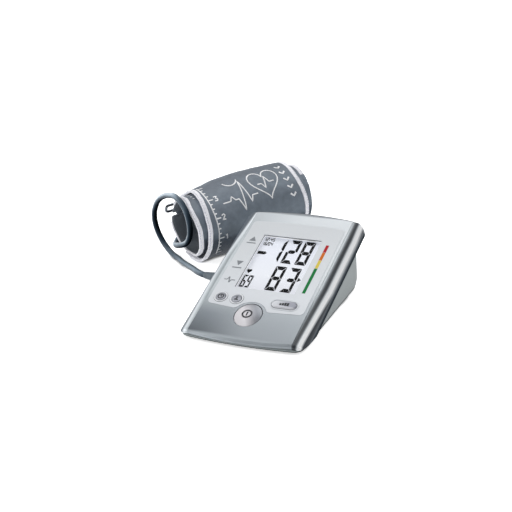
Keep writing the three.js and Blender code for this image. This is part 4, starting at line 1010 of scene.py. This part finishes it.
bar_b = round_cuff(ring_radius, ring_bar_b)
fold_radius = ring_wire + 0.25 + flap_thick / 2
flap_path = arc_path(flap_radius, flap_start, flap_end, 150)
flap_path += [bar_b + round_cuff(fold_radius, ring_bar_b - 60 + i * 18) for i in range(11)]
flap_path += [round_cuff(32.8, ring_bar_b + 0.5), round_cuff(31.6, ring_bar_b - 3.5)]
cuff_flap = cloth_layer(
    "flap_cloth", flap_path, flap_thick, flap_left_rim, flap_right_rim, 72, flap_crease, nylon_outside,
    "cuff_nylon", "cuff_flap")

print_white = cloth_finish("white print", "f4f5f7", 0.55, 0.1, 0.5, 0.06)
per_degree = math.radians(1) * (flap_radius + 1)


def flap_print_point(s, angle):
    """A place on the flap's outside, and how far round the flap it lies."""
    along = math.radians(angle - flap_start) * flap_radius
    spot = round_cuff(flap_radius + flap_thick / 2 + flap_crease(s, along) + 0.07, angle)
    return on_cuff(spot.x, spot.y, s), along


def wrap_print_point(s, angle):
    """A place on the inner wrap's outside, and how far round the wrap it lies."""
    along = math.radians((angle - wrap_start) % 360) * cover_radius
    spot = round_cuff(cover_radius + cover_thick / 2 + wrap_crease(s, along), angle, wrap_shift)
    return on_cuff(spot.x, spot.y, s), along


def print_lines(name, lines, width, point_of=flap_print_point):
    """Printed lines on the cloth, each a list of places: millimetres along the axis, degrees round it."""
    build = bmesh.new()
    cloth = build.loops.layers.uv.new("cloth")
    for line in lines:
        fine = []
        for (s0, a0), (s1, a1) in zip(line, line[1:]):
            steps = max(1, round(math.hypot(s1 - s0, (a1 - a0) * per_degree) / 1.5))
            fine += [(s0 + (s1 - s0) * k / steps, a0 + (a1 - a0) * k / steps) for k in range(steps)]
        fine.append(line[-1])
        rims = []
        for i, (s, a) in enumerate(fine):
            before, after = fine[max(i - 1, 0)], fine[min(i + 1, len(fine) - 1)]
            ds, da = after[0] - before[0], (after[1] - before[1]) * per_degree
            long = math.hypot(ds, da) or 1
            off_s, off_a = -da / long * width / 2, ds / long * width / 2 / per_degree
            rims.append([
                (build.verts.new(point_of(s + k * off_s, a + k * off_a)[0]), s + k * off_s,
                 point_of(s, a)[1] + k * off_a * per_degree) for k in (1, -1)])
        for first, second in zip(rims, rims[1:]):
            cloth_face(build, cloth, (first[0], first[1], second[1], second[0]))
    made = add_piece(name, mesh_of(name, build), print_white)
    layer = made.modifiers.new("thickness", "SOLIDIFY")
    layer.thickness = 0.06 * MM
    layer.offset = 0


plain_figures = {
    1: [(0.1, 0.8), (0.55, 1), (0.55, 0)],
    2: [(0, 0.8), (0.25, 1), (0.75, 1), (1, 0.75), (0, 0), (1, 0)],
    3: [(0, 1), (1, 1), (0.4, 0.58), (0.8, 0.5), (1, 0.28), (0.7, 0), (0, 0.05)],
}
figure_width, figure_height, figure_s = 3.8, 8, 20.0
figures = [
    [(figure_s + x * figure_width, angle + y * figure_height) for x, y in plain_figures[number]]
    for number, angle in ((1, -12), (2, 20), (3, 52))]
scale_s, short_tick, long_tick = 12.5, 3.0, 6.0
rim_line = [(scale_s, -44), (scale_s, 92)]
rim_ticks = []
for k in range(17):
    tick = long_tick if k % 4 == 0 else short_tick
    rim_ticks.append([(scale_s, -40 + 8 * k), (scale_s + tick, -40 + 8 * k)])
heart_line = [(84 + u, 60 + v * 1.5) for u, v in heart(36, 36)]
heart_line.append(heart_line[0])
pulse_line = [(27, 44), (36, 44), (39, 51), (42, 44), (46, 44), (50, 24), (55, 74), (60, 34),
              (63, 44), (70, 44)]
pulse_in_heart = [(74, 58), (79, 58), (82, 49), (86, 70), (89, 58), (95, 58)]
bow_turns = [math.radians(200 + 7 * k) for k in range(21)]
bow_line = [(47 + 9 * math.cos(t), 84 + 9 * math.sin(t) / per_degree) for t in bow_turns]
print_lines("flap_print_lines", [
    pulse_line, pulse_in_heart, heart_line, rim_line, *rim_ticks, *figures, bow_line], 1.35)
chevrons = [[(107.0, angle), (110.5, angle - 5), (114.0, angle)] for angle in (84, 70, 56, 42, 28)]
print_lines("flap_print_chevrons", chevrons, 1.9)
dashes = [[(2.2, angle), (4.4, angle - 1)] for angle in (106, 97, 88, 79, 4, -5, -14)]
print_lines("wrap_print_dashes", dashes, 1.3, wrap_print_point)


# Binding tape. Ribbed lilac-white tape folded over the cloth's two long edges on the flap and on the
# inner wrap, sewn through near its inner rim. One length of the wrap's far edge has a plain hem.
def stitch_group():
    """A row of stitches at one place across a tape, from its own coordinates in millimetres."""
    group, given, wanted = shader_group(
        "row of stitches", {"Cloth": (0, 0, 0), "Across": 4.0, "Pitch": 2.6}, ["Mask"])
    parts = place(group, "ShaderNodeSeparateXYZ", {0: given["Cloth"]}).outputs
    in_row = maths(group, "COMPARE", parts["X"], given["Across"], 0.32)
    part = maths(group, "FRACT", maths(group, "DIVIDE", parts["Y"], given["Pitch"]))
    sewn = maths(group, "LESS_THAN", part, 0.7)
    group.links.new(maths(group, "MULTIPLY", in_row, sewn), wanted["Mask"])
    return group


stitch_row = stitch_group()
binding_white, tree, shader = finish_of("binding tape", "dcdce3", Roughness=0.6, Sheen_Weight=0.2)
cloth = place(tree, "ShaderNodeUVMap", {}, uv_map="cloth").outputs[0]
along_tape = place(tree, "ShaderNodeSeparateXYZ", {0: cloth}).outputs["Y"]
rib = maths(tree, "SINE", maths(tree, "MULTIPLY", along_tape, math.pi / 0.45))
stitches = place(tree, "ShaderNodeGroup", {"Cloth": cloth}, node_tree=stitch_row).outputs["Mask"]
uneven = place(tree, "ShaderNodeTexNoise", {"Vector": cloth, "Scale": 0.35, "Detail": 3.0}).outputs["Fac"]
tape_tone = ramp(tree, uneven, [(0.3, "d3d4dc"), (0.5, "e6e6ec"), (0.7, "efeff3")])
tape_colour = mixed(tree, stitches, tape_tone, shade("b4b6c0"))
add_surface(tree, shader, tape_colour, maths(tree, "MULTIPLY_ADD", stitches, -2.0, rib), 0.5, 0.05)
# Painted light: the tape glows faintly though it is no lamp, more where it faces down.
facing = place(tree, "ShaderNodeNewGeometry").outputs["Normal"]
upward = place(tree, "ShaderNodeSeparateXYZ", {0: facing}).outputs["Z"]
add_painted_glow(tree, shader, tape_colour, mapped(tree, upward, (-0.7, 0.7), (0.4, 0.1)))


tape_width = 5.0


def bound_edge(name, node, path, thick, rim, inward, crease, inner_width=tape_width,
               material=binding_white):
    """Tape folded round a cloth edge: a rounded section carried along the path. rim says where its outer
    rim lies along the axis and inward, 1 or -1, where the cloth is. The leg on the cuff's inner side may
    be narrower than the outer one."""
    half = thick / 2
    section = [
        (tape_width, half * 0.5), (tape_width - 0.15, half * 0.8), (tape_width - 0.8, half * 0.84),
        (half * 1.6, half * 0.97)]
    for k in range(7):
        angle = math.pi / 2 + math.pi * k / 6
        section.append((half * 0.9 + half * 0.9 * math.cos(angle), half * math.sin(angle)))
    if inner_width > half * 2.4:
        section += [(half * 1.6, -half * 0.97), (inner_width - 0.8, -half * 0.84)]
    section += [(inner_width - 0.15, -half * 0.8), (inner_width, -half * 0.5)]
    section += [(inner_width + 0.1, 0.0), (tape_width - 0.1, 0.05)]
    across = lengths([Vector(corner) for corner in section + section[:1]])
    along = lengths(path)
    build = bmesh.new()
    cloth = build.loops.layers.uv.new("cloth")
    rings = []
    for i, point in enumerate(path):
        edge = rim(point, along[i])
        wander = 0.16 * noise.noise(Vector((along[i] / 6, inward * 3, 1.3)))
        raised = crease(edge + inward * 2, along[i]) + 0.08 * math.sin(along[i] / 1.1)
        ring = []
        for s, r in section:
            spot = point + outward(path, i) * (r + raised)
            ring.append(build.verts.new(on_cuff(spot.x, spot.y, edge + inward * (s + wander))))
        rings.append(ring)
    count = len(section)
    for i in range(len(path) - 1):
        for k in range(count):
            n = (k + 1) % count
            cloth_face(build, cloth, (
                (rings[i][k], across[k], along[i]), (rings[i][n], across[k + 1], along[i]),
                (rings[i + 1][n], across[k + 1], along[i + 1]), (rings[i + 1][k], across[k], along[i + 1])))
    build.faces.new(rings[0])
    build.faces.new(rings[-1])
    add_piece(name, mesh_of(name, build), material, [node])


tape_over = 4.6
wrap_edge_radius = 30.85
flap_edge_path = arc_path(flap_radius, flap_start, flap_end, 170)
wrap_edge_path = arc_path(wrap_edge_radius, wrap_start, wrap_end, 210, wrap_shift)
tape_step = (wrap_edge_path[1] - wrap_edge_path[0]).length
left_from, left_to, right_from = 7, 198, 146


def crease_from(step):
    """The wrap's creases along a tape that starts some steps into the wrap."""
    return lambda s, along: wrap_crease(s, (along + step * tape_step) * 1.02)


bound_edge(
    "flap_binding_left", "flap_tape_left", flap_edge_path, 2.7,
    lambda point, along: flap_left_rim(point, along) - tape_over, 1, flap_crease)
bound_edge(
    "flap_binding_right", "flap_tape_right", flap_edge_path, 2.7,
    lambda point, along: flap_right_rim(point, along) + tape_over, -1, flap_crease)
bound_edge(
    "wrap_binding_left", "inner_tape_left", wrap_edge_path[left_from:left_to], 2.6, wrap_left_rim, 1,
    crease_from(left_from), 1.7)
bound_edge(
    "wrap_binding_right", "inner_tape_right", wrap_edge_path[right_from:], 2.6, wrap_right_rim, -1,
    crease_from(right_from), 1.7)
bound_edge(
    "wrap_hem_right", "inner_tape_right", wrap_edge_path[:right_from + 1], 2.4, wrap_right_rim, -1,
    crease_from(0), 1.7, nylon_outside)


# Wire ring, its sewn sleeve and the hook patch. A polished bent wire that the flap is threaded
# through; the sleeve holds one bar on the inner wrap and the patch closes the flap's free end.
bar_a = round_cuff(ring_radius, ring_bar_a)
bars_apart = bar_b - bar_a
ring_start, ring_end, ring_bend = -6.5, 135.0, 3.0
wire_outline = []
for bars, s, first in ((0, ring_start, 180), (1, ring_start, 270), (1, ring_end, 0), (0, ring_end, 90)):
    middle_bars = bars_apart.length * bars + (ring_bend if bars == 0 else -ring_bend)
    middle_s = s + (ring_bend if s == ring_start else -ring_bend)
    for k in range(7):
        turn = math.radians(first + 15 * k)
        wire_outline.append(
            (middle_bars + ring_bend * math.cos(turn), middle_s + ring_bend * math.sin(turn)))
ring_curve, wire_knots = tube("ring_wire", ring_wire * MM, 5, "POLY", len(wire_outline))
ring_curve.splines[0].use_cyclic_u = True
for knot, (bars, s) in zip(wire_knots, wire_outline):
    spot = bar_a + bars_apart.normalized() * bars
    knot.co = (*on_cuff(spot.x, spot.y, s), 1)
ring_steel = plain_finish("ring steel", "6a6e74", 0.6, 0.04, 0.001, Roughness=0.18, Metallic=1.0)
add_piece("ring_wire", ring_curve, ring_steel, ["d_ring"])

sleeve_radius = 2.4
sleeve_path = [round_cuff(31.9, ring_bar_a + 6), round_cuff(33.5, ring_bar_a + 4.5)]
sleeve_path += [bar_a + round_cuff(sleeve_radius, ring_bar_a + 150 - i * 25) for i in range(13)]
sleeve_path += [round_cuff(33.2, ring_bar_a + 2.5), round_cuff(32.3, ring_bar_a + 3.5)]
cloth_layer(
    "sleeve_cloth", sleeve_path, 0.9, lambda point, along: 4.0, lambda point, along: 123.0, 50,
    lambda s, along: 0.1 * noise.noise(Vector((s / 9, along / 5, 8.8))), nylon_outside,
    "cuff_nylon", "ring_sleeve")

hook_finish = cloth_finish("hook tape", "2b2e31", 0.9, 0.1, 1.4, 0.5)
cloth_layer(
    "hook_tape", arc_path(34.5, -113, -80, 24), 1.3, lambda point, along: 22.0, lambda point, along: 106.0,
    60, lambda s, along: 0.06 * math.sin(s * 2.1) * math.sin(along * 2.1), hook_finish,
    "hook_tape", "hook_patch")
